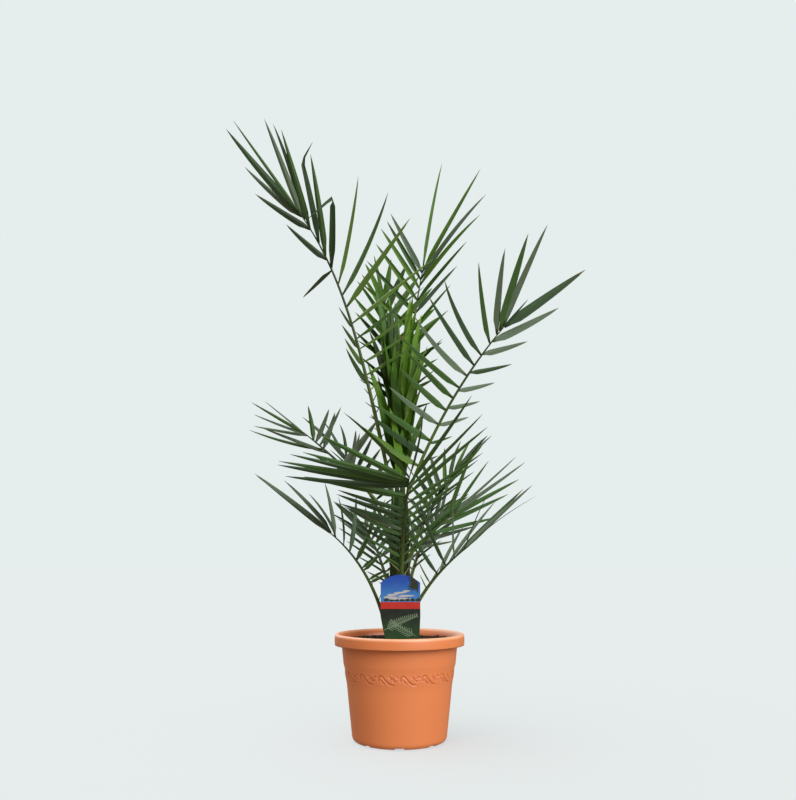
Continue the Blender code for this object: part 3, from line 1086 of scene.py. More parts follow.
@dataclass(frozen=True)
class PlantLabel:
    """The stick-in card: arched top, taper to the soil, a stake below and a printed front."""

    middle: float = 0.0016
    front: float = -0.058
    width: float = 0.0715
    foot_left: float = 0.0265
    foot_right: float = 0.0335
    top: float = 0.293
    arch: float = 0.014
    shoulder: float = 0.226
    soil: float = 0.1753
    stake_width: float = 0.022
    stake_depth: float = 0.045
    thick: float = 0.0012
    ink: float = 0.00006
    band: tuple[float, float] = (0.233, 0.245)

    def card(self) -> Surface:
        """Skin the card: rings of 2 x 25 points whose half width follows the height.

        The height falls from the middle to the sides by arch side^2, in full at the top.

        Returns:
            The closed card.
        """
        stake = np.linspace(self.soil - self.stake_depth, self.soil, 4)
        height = np.concatenate([stake, np.linspace(self.soil + 0.0003, self.top, 40)])[:, None]
        side = np.linspace(-1.0, 1.0, 25)
        spread = np.clip((height - self.soil) / (self.shoulder - self.soil), 0.0, 1.0)
        foot = np.where(side < 0.0, self.foot_left, self.foot_right)
        taper = foot + spread * (self.width / 2 - foot)
        half = np.where(height <= self.soil, self.stake_width / 2, taper)
        share = np.clip((height - self.soil) / (self.top - self.soil), 0.0, 1.0)
        x, z = self.middle + half * side, height - self.arch * side**2 * share
        faces = (self.front - self.thick / 2, self.front + self.thick / 2)
        front, back = (np.stack([x, np.full(x.shape, y), z], axis=-1) for y in faces)
        return capped_rings(np.concatenate([front, back[:, ::-1]], axis=1)[None], share[:, 0])

    def strokes(self, feet: Array, tips: Array, width: float) -> Surface:
        """Lay flat leaf-shaped strokes on the card's front.

        Args:
            feet: Places of the strokes' feet from the card's middle and the ground.
            tips: Places of their tips.
            width: Their greatest width.

        Returns:
            The strokes.
        """
        ahead = self.front - self.thick / 2 - self.ink
        foot = np.insert(feet + [self.middle, 0.0], 1, ahead, axis=1)
        step = np.insert(tips - feet, 1, 0.0, axis=1)
        length = np.linalg.norm(step, axis=1)
        up = np.array([0.0, -1.0, 0.0])
        return Blades(foot, step / length[:, None], up, length, width, thick=self.ink).surface(9)

    def feather(self, foot: tuple[float, float], tip: tuple[float, float], pairs: int) -> Surface:
        """Print a feathery frond: a rib with pairs of fine strokes that shorten to its tip.

        Args:
            foot: Place of the rib's foot.
            tip: Place of its tip.
            pairs: Pairs of strokes.

        Returns:
            The frond's strokes.
        """
        start, step = np.array(foot), np.subtract(tip, foot)
        share = np.linspace(0.12, 0.96, pairs)[:, None]
        along = unit(step)
        across = np.array([-along[1], along[0]])
        feet = start + share * step + across * 0.0030 * np.sin(np.pi * share)
        reach = 0.0125 * (1.0 - 0.65 * share)
        ways = (0.66 * along - 0.75 * across, 0.66 * along + 0.75 * across)
        sides = [self.strokes(feet, feet + reach * way, 0.0011) for way in ways]
        return Surface.joined([self.strokes(start[None], (start + step)[None], 0.0010), *sides])

    def clouds(self) -> Surface:
        """Print streaks of cloud, each listed as its foot and the step to its tip.

        Returns:
            The streaks.
        """
        streaks = np.array(
            [
                [-0.030, 0.2530, 0.026, 0.0004],
                [-0.024, 0.2568, 0.020, 0.0012],
                [-0.012, 0.2600, 0.024, 0.0022],
                [-0.004, 0.2552, 0.030, 0.0010],
                [0.004, 0.2632, 0.014, 0.0016],
                [-0.020, 0.2505, 0.040, 0.0006],
            ]
        )
        return self.strokes(streaks[:, :2], streaks[:, :2] + streaks[:, 2:], 0.0036)

    def trees(self) -> Surface:
        """Print a far row of trees along the foot of the sky.

        Returns:
            The row of trees.
        """
        feet = np.stack([np.linspace(-0.028, 0.034, 14), np.full(14, 0.2462)], axis=1)
        rise = np.array([[0.0012, 0.0050], [-0.0016, 0.0072], [0.0020, 0.0062], [-0.0008, 0.0046]])
        return self.strokes(feet, feet + np.resize(rise, feet.shape), 0.0046)

    def spray(self) -> Surface:
        """Print a spray of leaves that hangs into the upper right corner.

        Returns:
            The leaves.
        """
        turn = np.radians(np.linspace(138.0, 268.0, 11))
        corner = np.tile([0.031, 0.279], (len(turn), 1))
        reach = 0.019 + 0.004 * np.cos(5.0 * turn)
        return self.strokes(corner, corner + polar(reach, turn)[:, :2], 0.0032)

    def build(self) -> list[Object]:
        """Make the card and its print: two feathery fronds below, and clouds and leaves above.

        Returns:
            The card, then its print.
        """
        card = self.card().to_object("label_card", [PrintedCard(*self.band).make()], smooth=False)
        inks = [
            PlainInk("ink_pale", (0.16, 0.24, 0.15)),
            PlainInk("ink_cloud", (0.42, 0.43, 0.46)),
            PlainInk("ink_leaf", (0.016, 0.026, 0.012)),
        ]
        fronds = (((-0.030, 0.196), (0.031, 0.222), 15), ((0.027, 0.186), (-0.018, 0.213), 11))
        pieces = [*(self.feather(*frond) for frond in fronds), self.clouds(), self.trees(), self.spray()]
        for piece, ink in zip(pieces, (0, 0, 1, 2, 2)):
            piece.finish[:] = ink
        printed = Surface.joined(pieces).to_object("label_print", [ink.make() for ink in inks], smooth=False)
        return [own(card, "label_card", "plant_label"), own(printed, "label_card")]


# --- Palm ---


class LeafTone(Enum):
    """Named tones that leaflets are dealt."""

    BLOOM = 0
    DEEP = 1
    MID = 2
    FRESH = 3


class Side(Enum):
    """The side of a midrib, seen from its foot with its upper face towards one."""

    LEFT = 1
    RIGHT = -1


@dataclass(frozen=True)
class Foliage:
    """Colours of one kind of leaflet: an upper and a lower face for each tone, and dry tips."""

    name: str
    upper: tuple[Colour, ...]
    lower: tuple[Colour, ...]
    dry: Colour = (0.130, 0.105, 0.040)

    def make(self) -> list[Material]:
        """Make the materials in the order that Blades.finishes numbers them.

        Returns:
            The materials, the dry one last.
        """
        made: list[Material] = []
        for tone, above, below in zip(LeafTone, self.upper, self.lower):
            label = f"{self.name}_{tone.name.lower()}"
            made.append(LeafTissue(f"{label}_upper", above, 0.40).make())
            made.append(LeafTissue(f"{label}_lower", below, 0.55).make())
        made.append(LeafTissue(f"{self.name}_dry", self.dry, 0.7).make())
        return made


@dataclass(frozen=True)
class Snap:
    """A leaflet that is folded over.

    Attributes:
        side: The side it grows on.
        index: Its number from the foot of the blade.
        at: Share of its length at the fold.
        turn: Angle from the midrib of the part beyond the fold; negative crosses the midrib.
        lift: How far that part stands up from a flat blade, in degrees.
    """

    side: Side
    index: int
    at: float
    turn: float
    lift: float


@dataclass(frozen=True)
class Trunk:
    """The stem: a tapered bundle of old leaf bases with loose fibres."""

    soil: float = 0.175
    radii: tuple[float, ...] = (0.0205, 0.0175, 0.0150, 0.0130, 0.0110, 0.0090)
    heights: tuple[float, ...] = (0.0, 0.030, 0.080, 0.160, 0.240, 0.272)
    crown: float = 0.280
    lobes: int = 7
    rows: int = 150
    columns: int = 120
    twist: float = 4.0
    ledge: float = 0.0009
    ledge_pitch: float = 0.034
    gap: float = 0.0006
    strands: int = 130
    stubs: int = 16
    stub_turn: float = 137.5
    seed: int = 5

    def radius(self, height: Array | float) -> Array:
        """Give the stem's mean radius at heights above the pot's underside."""
        return np.interp(np.asarray(height) - self.soil, self.heights, self.radii)

    def _bundle(self) -> Surface:
        """Skin the bundle.

        The radius is the mean radius times 0.88 + 0.17 |cos(lobes / 2 (a - twist z))|^0.7, where a
        is the angle and z the height over the soil, plus a ledge wherever an old base ends. It
        narrows by 55% over the last 20 mm.

        Returns:
            The bundle.
        """
        z = np.linspace(self.soil - 0.008, self.soil + self.crown - 0.004, self.rows)[:, None]
        angle = ring_angles(self.columns)
        rise = z - self.soil
        lobe = np.abs(np.cos(self.lobes / 2.0 * (angle - self.twist * rise))) ** 0.7
        base = (rise / self.ledge_pitch + angle / FULL_TURN * 3.0) % 1.0
        stand_out = self.ledge * base * (1.0 - smoothstep(0.9, 1.0, base))
        radius = self.radius(z) * (0.88 + 0.17 * lobe) + stand_out
        radius = radius * (1.0 - 0.55 * smoothstep(self.crown - 0.020, self.crown, rise))
        return capped_rings(polar(radius, angle, z)[None], np.linspace(0.0, 1.0, self.rows))

    def _fibres(self) -> Surface:
        """Lay loose fibres on the stem, each nearly upright, lifting a little at its tip.

        Returns:
            The fibres.
        """
        rng = np.random.default_rng(self.seed)
        count = self.strands
        radial = polar(1.0, rng.uniform(0.0, FULL_TURN, count))
        height = self.soil + rng.uniform(0.002, 0.20, count)
        foot = radial * (self.radius(height) + self.gap)[:, None] + UP * height[:, None]
        lean = rng.uniform(-0.30, 0.30, count)[:, None]
        out = rng.uniform(-0.05, 0.06, count)[:, None]
        way = unit(UP + lean * np.cross(UP, radial) + out * radial)
        length = rng.uniform(0.018, 0.065, count)
        width = rng.uniform(0.0007, 0.0016, count)
        bow = rng.uniform(-0.02, 0.06, count)
        return Blades(foot, way, radial, length, width, 10.0, bow, thick=0.0004).surface(9)

    def _stubs(self) -> Surface:
        """Wrap cut leaf bases round the stem, each stub_turn degrees on from the one below it.

        A base is an oval bar in polar coordinates: its radius is the stem's plus the gap, the lean
        times the share squared and depth cos b, and its angle moves by half-width sin b / radius.

        Returns:
            The leaf bases.
        """
        rng = np.random.default_rng(self.seed + 1)
        count = self.stubs
        turn = np.radians(self.stub_turn * np.arange(count) + rng.uniform(-12.0, 12.0, count))[:, None, None]
        foot = self.soil + np.linspace(0.004, 0.185, count)[:, None]
        share = np.linspace(0.0, 1.0, 9)
        height = foot + rng.uniform(0.045, 0.080, (count, 1)) * share
        lean = rng.uniform(0.003, 0.010, (count, 1))
        out = (self.radius(height) + self.gap + lean * share**2)[..., None]
        around = ring_angles(12)
        radius = out + (0.0024 - 0.0009 * share)[:, None] * np.cos(around)
        angle = turn + (0.0105 - 0.0055 * share)[:, None] * np.sin(around) / out
        return capped_rings(polar(radius, angle, height[..., None]), share)

    def build(self) -> Object:
        """Join the bundle, its cut leaf bases and its fibres.

        Returns:
            The stem.
        """
        fibres = self._fibres()
        fibres.finish[:] = 1
        finishes = [LeafBaseFibre().make(), PlainInk("loose_fibre", (0.075, 0.070, 0.026), 0.8).make()]
        stem = Surface.joined([self._bundle(), self._stubs(), fibres]).to_object("stem_bundle", finishes)
        return own(stem, "stem_fibre", "stem")


@dataclass
class Path:
    """A midrib as a line with the directions along it, across its blade and up from it."""

    share: Array
    points: Array
    along: Array
    across: Array
    up: Array

    def at(self, share: Array) -> list[Array]:
        """Give the points and the three directions at shares of the midrib's length."""
        fields = (self.points, self.along, self.across, self.up)
        return [resampled(field, self.share, share) for field in fields]


@dataclass(frozen=True)
class Row:
    """The leaflets on one side of a midrib. Each list is read at even steps through the row.

    Attributes:
        count: Number of leaflets.
        place: Share of the midrib where they grow.
        angle: Angle from the midrib, in degrees.
        length: Length.
        lift: How far they stand up from a flat blade, in degrees.
        stray: How much the lift varies either way, in degrees.
        width: Factor on their width.
    """

    count: int
    place: tuple[float, ...]
    angle: tuple[float, ...]
    length: tuple[float, ...]
    lift: float
    stray: float = 7.0
    width: float = 1.0

    def read(self, values: tuple[float, ...]) -> Array:
        """Read one of the lists for every leaflet of the row."""
        steps = np.linspace(0.0, 1.0, len(values))
        return np.interp(np.linspace(0.0, 1.0, self.count), steps, values)


@dataclass(frozen=True)
class Frond:
    """One frond. Angles are in degrees and lengths in metres.

    Attributes:
        name: The frond's name.
        azimuth: The way it leans, counted from +X towards +Y.
        foot: Height where it leaves the stem.
        rise: Elevation of the midrib at its foot and at its end.
        bend: How late the midrib bends: 1 is an even arc.
        length: Length of the midrib without the end leaflet.
        bare: Share of the midrib that carries no leaflets.
        roll: Turn of the blade about its midrib.
        left: Leaflets on the left.
        right: Leaflets on the right.
        end: Length of the end leaflet.
        snaps: Leaflets that are folded over.
        tones: Share of leaflets in each tone at the end of the blade.
        foot_tones: The same at its foot, where that differs.
        young: Whether it is an unopened spear.
        width: Factor on the width of its leaflets.
        seed: Start of its random series.
    """

    name: str
    azimuth: float
    foot: float
    rise: tuple[float, float]
    bend: float
    length: float
    bare: float
    roll: float
    left: Row
    right: Row
    end: float
    snaps: tuple[Snap, ...] = ()
    tones: tuple[float, ...] = (0.20, 0.30, 0.35, 0.15)
    foot_tones: tuple[float, ...] = ()
    young: bool = False
    width: float = 1.0
    seed: int = 1

    def _level(self) -> tuple[Array, Array]:
        """Give the level directions away from the stem and to the left of that."""
        out = polar(1.0, math.radians(self.azimuth))
        return out, np.cross(UP, out)

    def path(self, trunk: Trunk) -> Path:
        """Follow the midrib: rise(t) = rise0 + (rise1 - rise0) t^bend, summed up step by step.

        Args:
            trunk: The stem it grows on.

        Returns:
            The midrib as 61 points with their directions.
        """
        share = np.linspace(0.0, 1.0, MIDRIB_STEPS + 1)
        rise = np.radians(self.rise[0] + (self.rise[1] - self.rise[0]) * share**self.bend)
        level, side = self._level()
        along = np.cos(rise)[:, None] * level + np.sin(rise)[:, None] * UP
        steps = 0.5 * (along[1:] + along[:-1]) * self.length / MIDRIB_STEPS
        out = HEART_RADIUS
        if not self.young:
            out = float(trunk.radius(self.foot)) + 0.0003 + 0.0029 * math.sin(rise[0])
        start = out * level + self.foot * UP
        points = np.vstack([start, start + np.cumsum(steps, axis=0)])
        normal = np.cross(along, side)
        roll = math.radians(self.roll)
        across = math.cos(roll) * side + math.sin(roll) * normal
        up = math.cos(roll) * normal - math.sin(roll) * side
        return Path(share, points, along, across, up)

    def _sheath(self, trunk: Trunk) -> tuple[Array, Array]:
        """Carry the midrib's foot down the stem as a widening sheath.

        Args:
            trunk: The stem.

        Returns:
            Its points from the bottom up, and how far it has widened at each, from 1 to 0.
        """
        reach = 0.006 if self.young else max(0.004, min(SHEATH, self.foot - trunk.soil - 0.001))
        down = np.linspace(1.0, 0.0, 10, endpoint=False)[:, None]
        height = self.foot - reach * down
        out = HEART_RADIUS if self.young else trunk.radius(height) + 0.0028
        return out * self._level()[0] + height * UP, down[:, 0] * reach / SHEATH

    def rib(self, trunk: Trunk) -> Surface:
        """Skin the stalk and midrib: an oval that thins from the sheath to the end leaflet.

        Args:
            trunk: The stem.

        Returns:
            The closed rib.
        """
        path = self.path(trunk)
        level, side = self._level()
        below, grow = self._sheath(trunk)
        rows = np.ones((len(below), 1))
        blend = smoothstep(0.0, 0.3, path.share)[:, None]
        across = unit((1.0 - blend) * side + blend * path.across)
        places = [0.0, self.bare, 0.75, 1.0]
        width = np.interp(path.share, places, [STALK_WIDTH, 0.0035, 0.0022, 0.0010])
        depth = np.interp(path.share, places, [STALK_DEPTH, 0.0028, 0.0018, 0.0009])
        return tube(
            np.concatenate([below, path.points]),
            np.concatenate([rows * side, across]),
            np.concatenate([rows * -level, np.cross(path.along, across)]),
            np.concatenate([STALK_WIDTH + 0.0070 * grow, width]),
            np.concatenate([STALK_DEPTH - 0.0012 * grow, depth]),
            12,
        )

    def _way(self, path: Path, place: Array, angle: Array, lift: Array, side: Array) -> Array:
        """Point leaflets: cos a along + sin a (cos l side across + sin l up).

        Args:
            path: The midrib.
            place: Shares of the midrib.
            angle: Angles from the midrib in degrees.
            lift: Angles up from the blade in degrees.
            side: +1 on the left and -1 on the right.

        Returns:
            Unit directions.
        """
        _, along, across, up = path.at(place)
        angle, lift = np.radians(angle)[:, None], np.radians(lift)[:, None]
        sideways = np.cos(lift) * side[:, None] * across + np.sin(lift) * up
        return unit(np.cos(angle) * along + np.sin(angle) * sideways)

    def _drawn(self, rng: np.random.Generator) -> list[Array]:
        """Draw the leaflets of both rows, and add the end leaflet.

        Args:
            rng: The frond's random series.

        Returns:
            Place on the midrib, side, angle, length, lift and factor on the width of each leaflet.
        """
        drawn: list[list[Array]] = []
        for side, row in zip(Side, (self.left, self.right)):
            count = row.count
            place = np.clip(row.read(row.place) + rng.uniform(-0.006, 0.006, count), 0.0, 1.0)
            angle = row.read(row.angle) + rng.uniform(-2.0, 2.0, count)
            length = row.read(row.length) * rng.uniform(0.96, 1.04, count)
            lift = row.lift + rng.uniform(-row.stray, row.stray, count)
            sides, widths = np.full(count, float(side.value)), np.full(count, self.width * row.width)
            drawn.append([place, sides, angle, length, lift, widths])
        ending = (1.0, 1.0, 1.0, self.end, 0.0, 0.6 * self.width * min(self.left.width, self.right.width))
        return [np.concatenate([left, right, [last]]) for left, right, last in zip(*drawn, ending)]

    def _tones(self, rng: np.random.Generator, place: Array) -> tuple[Array, Array]:
        """Deal out tones and dry tips; the share of each tone shifts from the blade's foot to its end.

        Args:
            rng: The frond's random series.
            place: Place of each leaflet on the midrib.

        Returns:
            The tone of each leaflet and the share of its length where it dries, 2 for never.
        """
        shift = smoothstep(self.bare, 1.0, place)[:, None]
        chances = (1.0 - shift) * np.array(self.foot_tones or self.tones) + shift * np.array(self.tones)
        passed = rng.uniform(size=(len(place), 1)) > np.cumsum(chances, axis=1)
        tone = np.minimum(passed.sum(axis=1), len(LeafTone) - 1)
        dried = rng.uniform(size=len(place)) < (0.0 if self.young else DRIED)
        return tone, np.where(dried, rng.uniform(0.90, 0.97, len(place)), 2.0)

    def leaflets(self, trunk: Trunk) -> tuple[Blades, Array, Array]:
        """Grow the leaflets by a seeded rule: the rows' places, with angles, lengths and turns varied.

        Each leaflet turns whichever face is nearer the light towards it, by LIGHT_PULL, and a
        snapped one faces the light.

        Args:
            trunk: The stem.

        Returns:
            The blades, the tone of each and the share where each dries.
        """
        rng = np.random.default_rng(self.seed)
        path = self.path(trunk)
        place, side, angle, length, lift, broad = self._drawn(rng)
        count = len(place)
        way = self._way(path, place, angle, lift, side)
        bend_at = np.ones(count)
        snapped = [snap.index + (self.left.count if snap.side is Side.RIGHT else 0) for snap in self.snaps]
        bend_at[snapped] = [snap.at for snap in self.snaps]
        angle[snapped] = [snap.turn for snap in self.snaps]
        lift[snapped] = [snap.lift for snap in self.snaps]
        bend_way = self._way(path, place, angle, lift, side)
        foot, _, _, up = path.at(place)
        turn = np.radians(rng.uniform(-22.0, 22.0, count) + 18.0 * side)[:, None]
        wide = unit(np.cross(up, way))
        upward = np.cos(turn) * np.cross(way, wide) + np.sin(turn) * wide
        lit_face = np.where((upward * LIGHT).sum(-1, keepdims=True) < 0.0, -1.0, 1.0)
        upward = unit(upward + LIGHT_PULL * lit_face * LIGHT)
        upward[snapped] = unit(LIGHT)
        width = np.minimum(0.020 * length + 0.009, 0.085 * length) * broad * rng.uniform(0.9, 1.1, count)
        fold = rng.uniform(18.0, 36.0, count)
        bow = rng.uniform(-0.01, 0.05, count)
        blades = Blades(foot, way, upward, length, width, fold, bow, bend_at, bend_way)
        return blades, *self._tones(rng, place)

    def spines(self, trunk: Trunk) -> Blades:
        """Grow the stiff spines on the upper part of the bare stalk, left and right in turn.

        Args:
            trunk: The stem.

        Returns:
            The spines as narrow blades.
        """
        rng = np.random.default_rng(self.seed + 100)
        count = max(2, int(self.length * self.bare * 0.6 / SPINE_GAP))
        place = self.bare * np.linspace(0.40, 0.97, count)
        side = np.resize([1.0, -1.0], count)
        path = self.path(trunk)
        way = self._way(path, place, rng.uniform(32.0, 62.0, count), rng.uniform(5.0, 40.0, count), side)
        foot, _, _, up = path.at(place)
        length = np.linspace(0.012, 0.036, count) * rng.uniform(0.8, 1.1, count)
        return Blades(foot, way, up, length, 0.0022, 20.0, thick=0.0012)


@dataclass(frozen=True)
class Crown:
    """All fronds and spears with the colours they share."""

    trunk: Trunk
    fronds: tuple[Frond, ...]
    grown: Foliage = Foliage(
        "leaf",
        ((0.070, 0.118, 0.072), (0.018, 0.045, 0.014), (0.026, 0.077, 0.013), (0.055, 0.140, 0.014)),
        ((0.098, 0.152, 0.096), (0.032, 0.072, 0.029), (0.044, 0.108, 0.026), (0.082, 0.172, 0.028)),
    )
    fresh: Foliage = Foliage(
        "young_leaf",
        ((0.028, 0.058, 0.012), (0.029, 0.078, 0.009), (0.052, 0.146, 0.014), (0.100, 0.240, 0.021)),
        ((0.038, 0.078, 0.016), (0.041, 0.102, 0.014), (0.071, 0.176, 0.022), (0.125, 0.265, 0.033)),
    )

    def build(self) -> list[Object]:
        """Grow every frond as a rib with its spines and a set of leaflets.

        Returns:
            The rib and the leaflets of each frond in turn.
        """
        grown, fresh = self.grown.make(), self.fresh.make()
        skin = Stalk("stalk_skin", (0.020, 0.044, 0.006), (0.095, 0.165, 0.026), (0.040, 0.074, 0.018)).make()
        spine = PlainInk("spine_skin", (0.200, 0.230, 0.075)).make()
        pieces: list[Object] = []
        for frond in self.fronds:
            parts = [frond.rib(self.trunk)]
            if not frond.young:
                spines = frond.spines(self.trunk).surface(7)
                spines.finish[:] = 1
                parts.append(spines)
            rib = Surface.joined(parts).to_object(f"{frond.name}_rib", [skin, spine])
            pieces.append(own(rib, "stalk_green", f"{frond.name}_stalk"))
            blades, tone, tip = frond.leaflets(self.trunk)
            surface = blades.surface()
            surface.finish = blades.finishes(tone, tip)
            leaves = surface.to_object(f"{frond.name}_leaflets", fresh if frond.young else grown, crease=4)
            slot = "young_leaf_green" if frond.young else "leaf_green"
            pieces.append(own(leaves, slot, f"{frond.name}_blade"))
        return pieces


def even_row(count: int, start: float, length: tuple[float, ...]) -> Row:
    """Make a row of a plain open frond, which starts at a share of its midrib."""
    return Row(count, (start, 0.98), (70, 60, 45, 15), length, 23.0)


def palm_fronds() -> tuple[Frond, ...]:
    """List the palm's fronds, from the tall outer ones to the spears.

    Returns:
        The fronds in the order they are built.
    """
    middle = (0.05, 0.11, 0.12, 0.12)
    low = (0.05, 0.10, 0.12, 0.12)
    back = [
        Frond(
            f"frond_back_{name}", azimuth, foot, rise, 1.0, length, 0.35, 0,
            even_row(count, 0.36, leaflet), even_row(count, 0.37, leaflet), end, width=width, seed=seed,
        )
        for name, azimuth, foot, rise, length, count, leaflet, end, width, seed in (
            ("mid_left", 140, 0.330, (72, 38), 0.26, 9, middle, 0.12, 0.95, 30),
            ("mid_right", 35, 0.300, (72, 42), 0.23, 10, low, 0.10, 1.25, 31),
            ("low_left", 112, 0.195, (70, 25), 0.26, 9, low, 0.13, 1.1, 32),
            ("low_right", 66, 0.220, (68, 24), 0.26, 9, low, 0.13, 1.25, 33),
        )
    ]
    brush = Row(11, (0.03, 0.25, 0.60, 0.98), (17, 15, 12, 6), (0.15, 0.19, 0.19, 0.19), 0.0, 85.0)
    return (
        Frond(
            "frond_tall_left", 195, 0.440, (77, 52), 3.0, 0.60, 0.38, 45,
            Row(
                14, (0.40, 0.485, 0.565, 0.665, 0.745, 0.84, 0.94, 0.99),
                (75, 75, 74, 53, 29, 19, 17, 15), (0.11, 0.135, 0.20, 0.22, 0.215, 0.21, 0.205, 0.207), 10, 3,
            ),
            Row(
                9, (0.37, 0.44, 0.50, 0.57, 0.775, 0.81, 0.93, 0.98, 0.99),
                (37, 37, 36, 30, 82, 39, 37, 25, 11),
                (0.11, 0.09, 0.08, 0.07, 0.175, 0.175, 0.195, 0.19, 0.255), 35, 3, 1.25,
            ),
            0.225,
            (
                Snap(Side.LEFT, 8, 0.66, -112, 50),
                Snap(Side.LEFT, 10, 0.78, 62, 10),
                Snap(Side.RIGHT, 4, 0.04, 86, 35),
            ),
            (0.25, 0.40, 0.35, 0.0), (0.0, 0.0, 0.2, 0.8), seed=21,
        ),
        Frond(
            "frond_tall_right", 60, 0.430, (90, 70), 1.0, 0.52, 0.38, 0,
            Row(
                9, (0.40, 0.60, 0.77, 0.89, 0.98), (60, 50, 43, 33, 32),
                (0.10, 0.17, 0.20, 0.20, 0.195), 15, 4,
            ),
            Row(
                9, (0.42, 0.60, 0.77, 0.90, 0.97), (62, 56, 50, 47, 31),
                (0.08, 0.12, 0.13, 0.195, 0.27), 15, 4,
            ),
            0.32, tones=(0.2, 0.0, 0.4, 0.4), foot_tones=(0.0, 0.0, 0.3, 0.7), width=0.95, seed=22,
        ),
        Frond(
            "frond_tall_back", 105, 0.400, (86, 60), 1.5, 0.50, 0.40, 0,
            even_row(9, 0.40, (0.06, 0.11, 0.12, 0.12)), even_row(10, 0.41, (0.08, 0.13, 0.15, 0.15)),
            0.16, tones=(0.0, 0.0, 0.2, 0.8), width=1.4, seed=23,
        ),
        Frond(
            "frond_right", -15, 0.435, (68, 48), 1.2, 0.385, 0.12, -45,
            Row(
                9, (0.20, 0.40, 0.60, 0.82, 1.0), (50, 52, 52, 42, 18),
                (0.04, 0.07, 0.085, 0.11, 0.20), 5, 4,
            ),
            Row(
                14, (0.18, 0.33, 0.52, 0.655, 0.80, 0.94, 1.0), (82, 83, 78, 83, 70, 38, 18),
                (0.145, 0.12, 0.13, 0.17, 0.165, 0.165, 0.215), 5, 4,
            ),
            0.07, tones=(0.45, 0.35, 0.20, 0.0), foot_tones=(0.2, 0.3, 0.3, 0.2), width=1.55, seed=24,
        ),
        Frond(
            "frond_mid_left", 175, 0.395, (52, 38), 0.8, 0.245, 0.15, 60,
            Row(
                6, (0.515, 0.595, 0.80, 0.84, 0.885, 0.905), (64, 88, 74, 86, 76, 43),
                (0.081, 0.114, 0.079, 0.091, 0.072, 0.068), 10, 3, 2.1,
            ),
            Row(
                6, (0.50, 0.73, 0.79, 0.97, 0.99, 1.0), (24, 23, 29, 31, 22, 11),
                (0.10, 0.165, 0.19, 0.13, 0.13, 0.13), 10, 3, 0.65,
            ),
            0.105, tones=(0.55, 0.2, 0.25, 0.0), width=0.95, seed=25,
        ),
        Frond(
            "frond_mid_right", 0, 0.325, (45, 42), 0.8, 0.125, 0.10, -50,
            Row(6, (0.20, 0.46, 0.75, 0.97), (45, 42, 28, 13), (0.09, 0.16, 0.175, 0.175), 10, 5),
            Row(5, (0.20, 0.50, 0.83, 0.96), (65, 40, 40, 14), (0.08, 0.12, 0.14, 0.12), 10, 5),
            0.16, tones=(0.4, 0.3, 0.3, 0.0), width=0.8, seed=26,
        ),
        Frond(
            "frond_front", 275, 0.185, (84, 25), 1.3, 0.335, 0.35, 0,
            Row(
                11, (0.38, 0.50, 0.60, 0.72, 0.84, 0.92), (52, 51, 50, 52, 44, 20),
                (0.10, 0.12, 0.14, 0.155, 0.19, 0.22), 10, 4, 0.5,
            ),
            Row(
                17, (0.38, 0.47, 0.56, 0.64, 0.73, 0.92, 0.94, 0.96, 0.98),
                (60, 64, 68, 74, 80, 95, 89, 80, 36),
                (0.075, 0.09, 0.11, 0.12, 0.13, 0.225, 0.23, 0.18, 0.19), 10, 3, 0.80,
            ),
            0.185, tones=(0.05, 0.40, 0.50, 0.05), foot_tones=(0.1, 0.6, 0.3, 0.0), width=1.2, seed=27,
        ),
        Frond(
            "frond_low_left", 202, 0.180, (77, 35), 1.2, 0.232, 0.42, 0,
            Row(
                6, (0.45, 0.56, 0.67, 0.83, 0.915, 0.965), (85, 70, 58, 38, 19, 9),
                (0.045, 0.07, 0.096, 0.101, 0.103, 0.133), 45, 4, 1.35,
            ),
            Row(
                6, (0.48, 0.58, 0.66, 0.755, 0.915, 0.965), (98, 95, 85, 68, 57, -1),
                (0.068, 0.075, 0.11, 0.139, 0.125, 0.17), 50, 4, 0.85,
            ),
            0.165, tones=(0.55, 0.05, 0.40, 0.0), width=1.25, seed=28,
        ),
        Frond(
            "frond_low_right", -26, 0.205, (75, 34), 0.6, 0.185, 0.40, -10,
            Row(5, (0.45, 0.66, 0.82, 0.93), (65, 64, 40, 18), (0.06, 0.17, 0.185, 0.175), 35, 4),
            Row(5, (0.45, 0.62, 0.78, 0.95), (60, 70, 55, 30), (0.055, 0.15, 0.14, 0.12), 35, 4),
            0.155, tones=(0.4, 0.3, 0.3, 0.0), width=0.75, seed=29,
        ),
        *back,
        Frond(
            "spear_left", 170, 0.4556, (89, 83), 1.0, 0.22, 0.03, 0, brush, brush, 0.19,
            tones=(0.0, 0.3, 0.4, 0.3), young=True, width=2.0, seed=34,
        ),
        Frond(
            "spear_right", -5, 0.4556, (89, 86), 1.0, 0.20, 0.03, 0, brush, brush, 0.16,
            tones=(0.0, 0.2, 0.4, 0.4), young=True, width=2.0, seed=35,
        ),
    )


# --- Studio ---


@dataclass(frozen=True)
class Sun:
    """A far soft light.

    Attributes:
        name: The light's name.
        source: Direction that it comes from.
        strength: Strength.
        spread: Angle that it fills, in degrees.
        on_floor: Whether it lights the floor too; a lamp held close to the plant doesn't.
    """

    name: str
    source: Triple
    strength: float
    spread: float
    on_floor: bool = True

    def build(self, floor: Object) -> None:
        """Add the light to the scene.

        Args:
            floor: The floor, which a close lamp leaves out.
        """
        data = bpy.data.lights.new(self.name, "SUN")
        data.energy = self.strength
        data.angle = math.radians(self.spread)
        lamp = linked(bpy.data.objects.new(self.name, data))
        lamp.rotation_euler = Vector(self.source).to_track_quat("Z", "Y").to_euler()
        if not self.on_floor:
            kept_off = bpy.data.collections.new(f"{self.name}_kept_off")
            kept_off.objects.link(floor)
            kept_off.collection_objects[0].light_linking.link_state = "EXCLUDE"
            lamp.light_linking.receiver_collection = kept_off


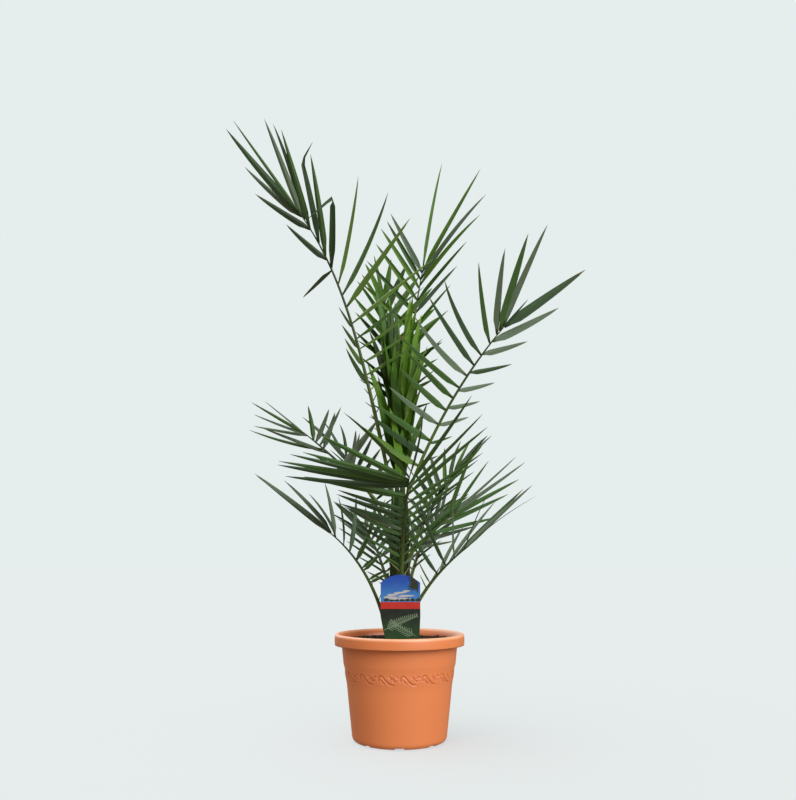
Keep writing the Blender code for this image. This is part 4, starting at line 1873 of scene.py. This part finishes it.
@dataclass(frozen=True)
class Studio:
    """A pale sweep, soft light and the camera."""

    backdrop: Colour = (0.791, 0.847, 0.847)
    ambient: float = 0.36
    ambient_tint: Colour = (1.0, 0.74, 0.54)
    floor_tone: Colour = (0.36, 0.385, 0.385)
    floor_glow: Colour = (0.529, 0.589, 0.614)
    floor_half: float = 40.0
    camera_place: Triple = (-0.0028, -1.5045, 0.3157)
    tilt: float = 11.76
    lens: float = 35.0
    suns: tuple[Sun, ...] = (
        Sun("key", (0.57, -0.82, 0.55), 0.98 * math.pi, 50.0, False),
        Sun("top", (-0.35, -0.05, 1.0), 0.42 * math.pi, 80.0),
        Sun("rear", (-0.45, 0.80, 0.50), 0.32 * math.pi, 60.0, False),
    )

    def build(self) -> None:
        """Set the colour handling and make the world, the lights, the floor and the camera."""
        bpy.context.scene.view_settings.view_transform = "Standard"
        self._world()
        floor = self._floor()
        for sun in self.suns:
            sun.build(floor)
        self._camera()

    def _world(self) -> None:
        """Show the backdrop to the camera and light the scene with a dimmer even sky."""
        world = bpy.data.worlds.new("studio")
        world.use_nodes = True
        tree = world.node_tree
        seen = tree.nodes["Background"]
        seen.inputs["Color"].default_value = (*self.backdrop, 1.0)
        lit = tree.nodes.new("ShaderNodeBackground")
        lit.inputs["Color"].default_value = (*self.ambient_tint, 1.0)
        lit.inputs["Strength"].default_value = self.ambient
        ray = tree.nodes.new("ShaderNodeLightPath")
        mix = tree.nodes.new("ShaderNodeMixShader")
        tree.links.new(ray.outputs["Is Camera Ray"], mix.inputs["Fac"])
        tree.links.new(lit.outputs[0], mix.inputs[1])
        tree.links.new(seen.outputs[0], mix.inputs[2])
        tree.links.new(mix.outputs[0], tree.nodes["World Output"].inputs["Surface"])
        bpy.context.scene.world = world

    def _floor(self) -> Object:
        """Lay the floor: pale paper that glows a little, seen but lighting nothing by its glow.

        Returns:
            The floor.
        """
        corners = np.array([[-1.0, -1.0, 0.0], [1.0, -1.0, 0.0], [1.0, 1.0, 0.0], [-1.0, 1.0, 0.0]])
        plane = Surface(self.floor_half * corners, np.array([[0, 1, 2, 3]]), corners[:, :2])
        shader = Shader("floor_paper", 0.9, 0.0)
        grain = shader.noise(3.0, 2.0)
        shader.paint(shader.mix(0.03 * grain, self.floor_tone, shade(self.floor_tone, 0.9)))
        shader.give("Emission Color", self.floor_glow)
        shader.give("Emission Strength", 1.0)
        floor = plane.to_object("floor", [shader.material])
        floor.visible_diffuse = False
        floor.visible_glossy = False
        return floor

    def _camera(self) -> None:
        """Place the camera: level across, tilted up a little."""
        data = bpy.data.cameras.new("view")
        data.lens = self.lens
        data.clip_start = 0.05
        data.clip_end = 200.0
        camera = linked(bpy.data.objects.new("view", data))
        camera.location = self.camera_place
        camera.rotation_euler = (math.radians(90.0 + self.tilt), 0.0, 0.0)
        bpy.context.scene.camera = camera


def main() -> None:
    """Build the studio, the pot and the palm."""
    logging.basicConfig(level=logging.INFO, format="%(name)s: %(message)s")
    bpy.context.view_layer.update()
    Studio().build()
    Pot().build()
    Soil().build()
    PlantLabel().build()
    trunk = Trunk()
    trunk.build()
    Crown(trunk, palm_fronds()).build()


if __name__ == "__main__":
    main()
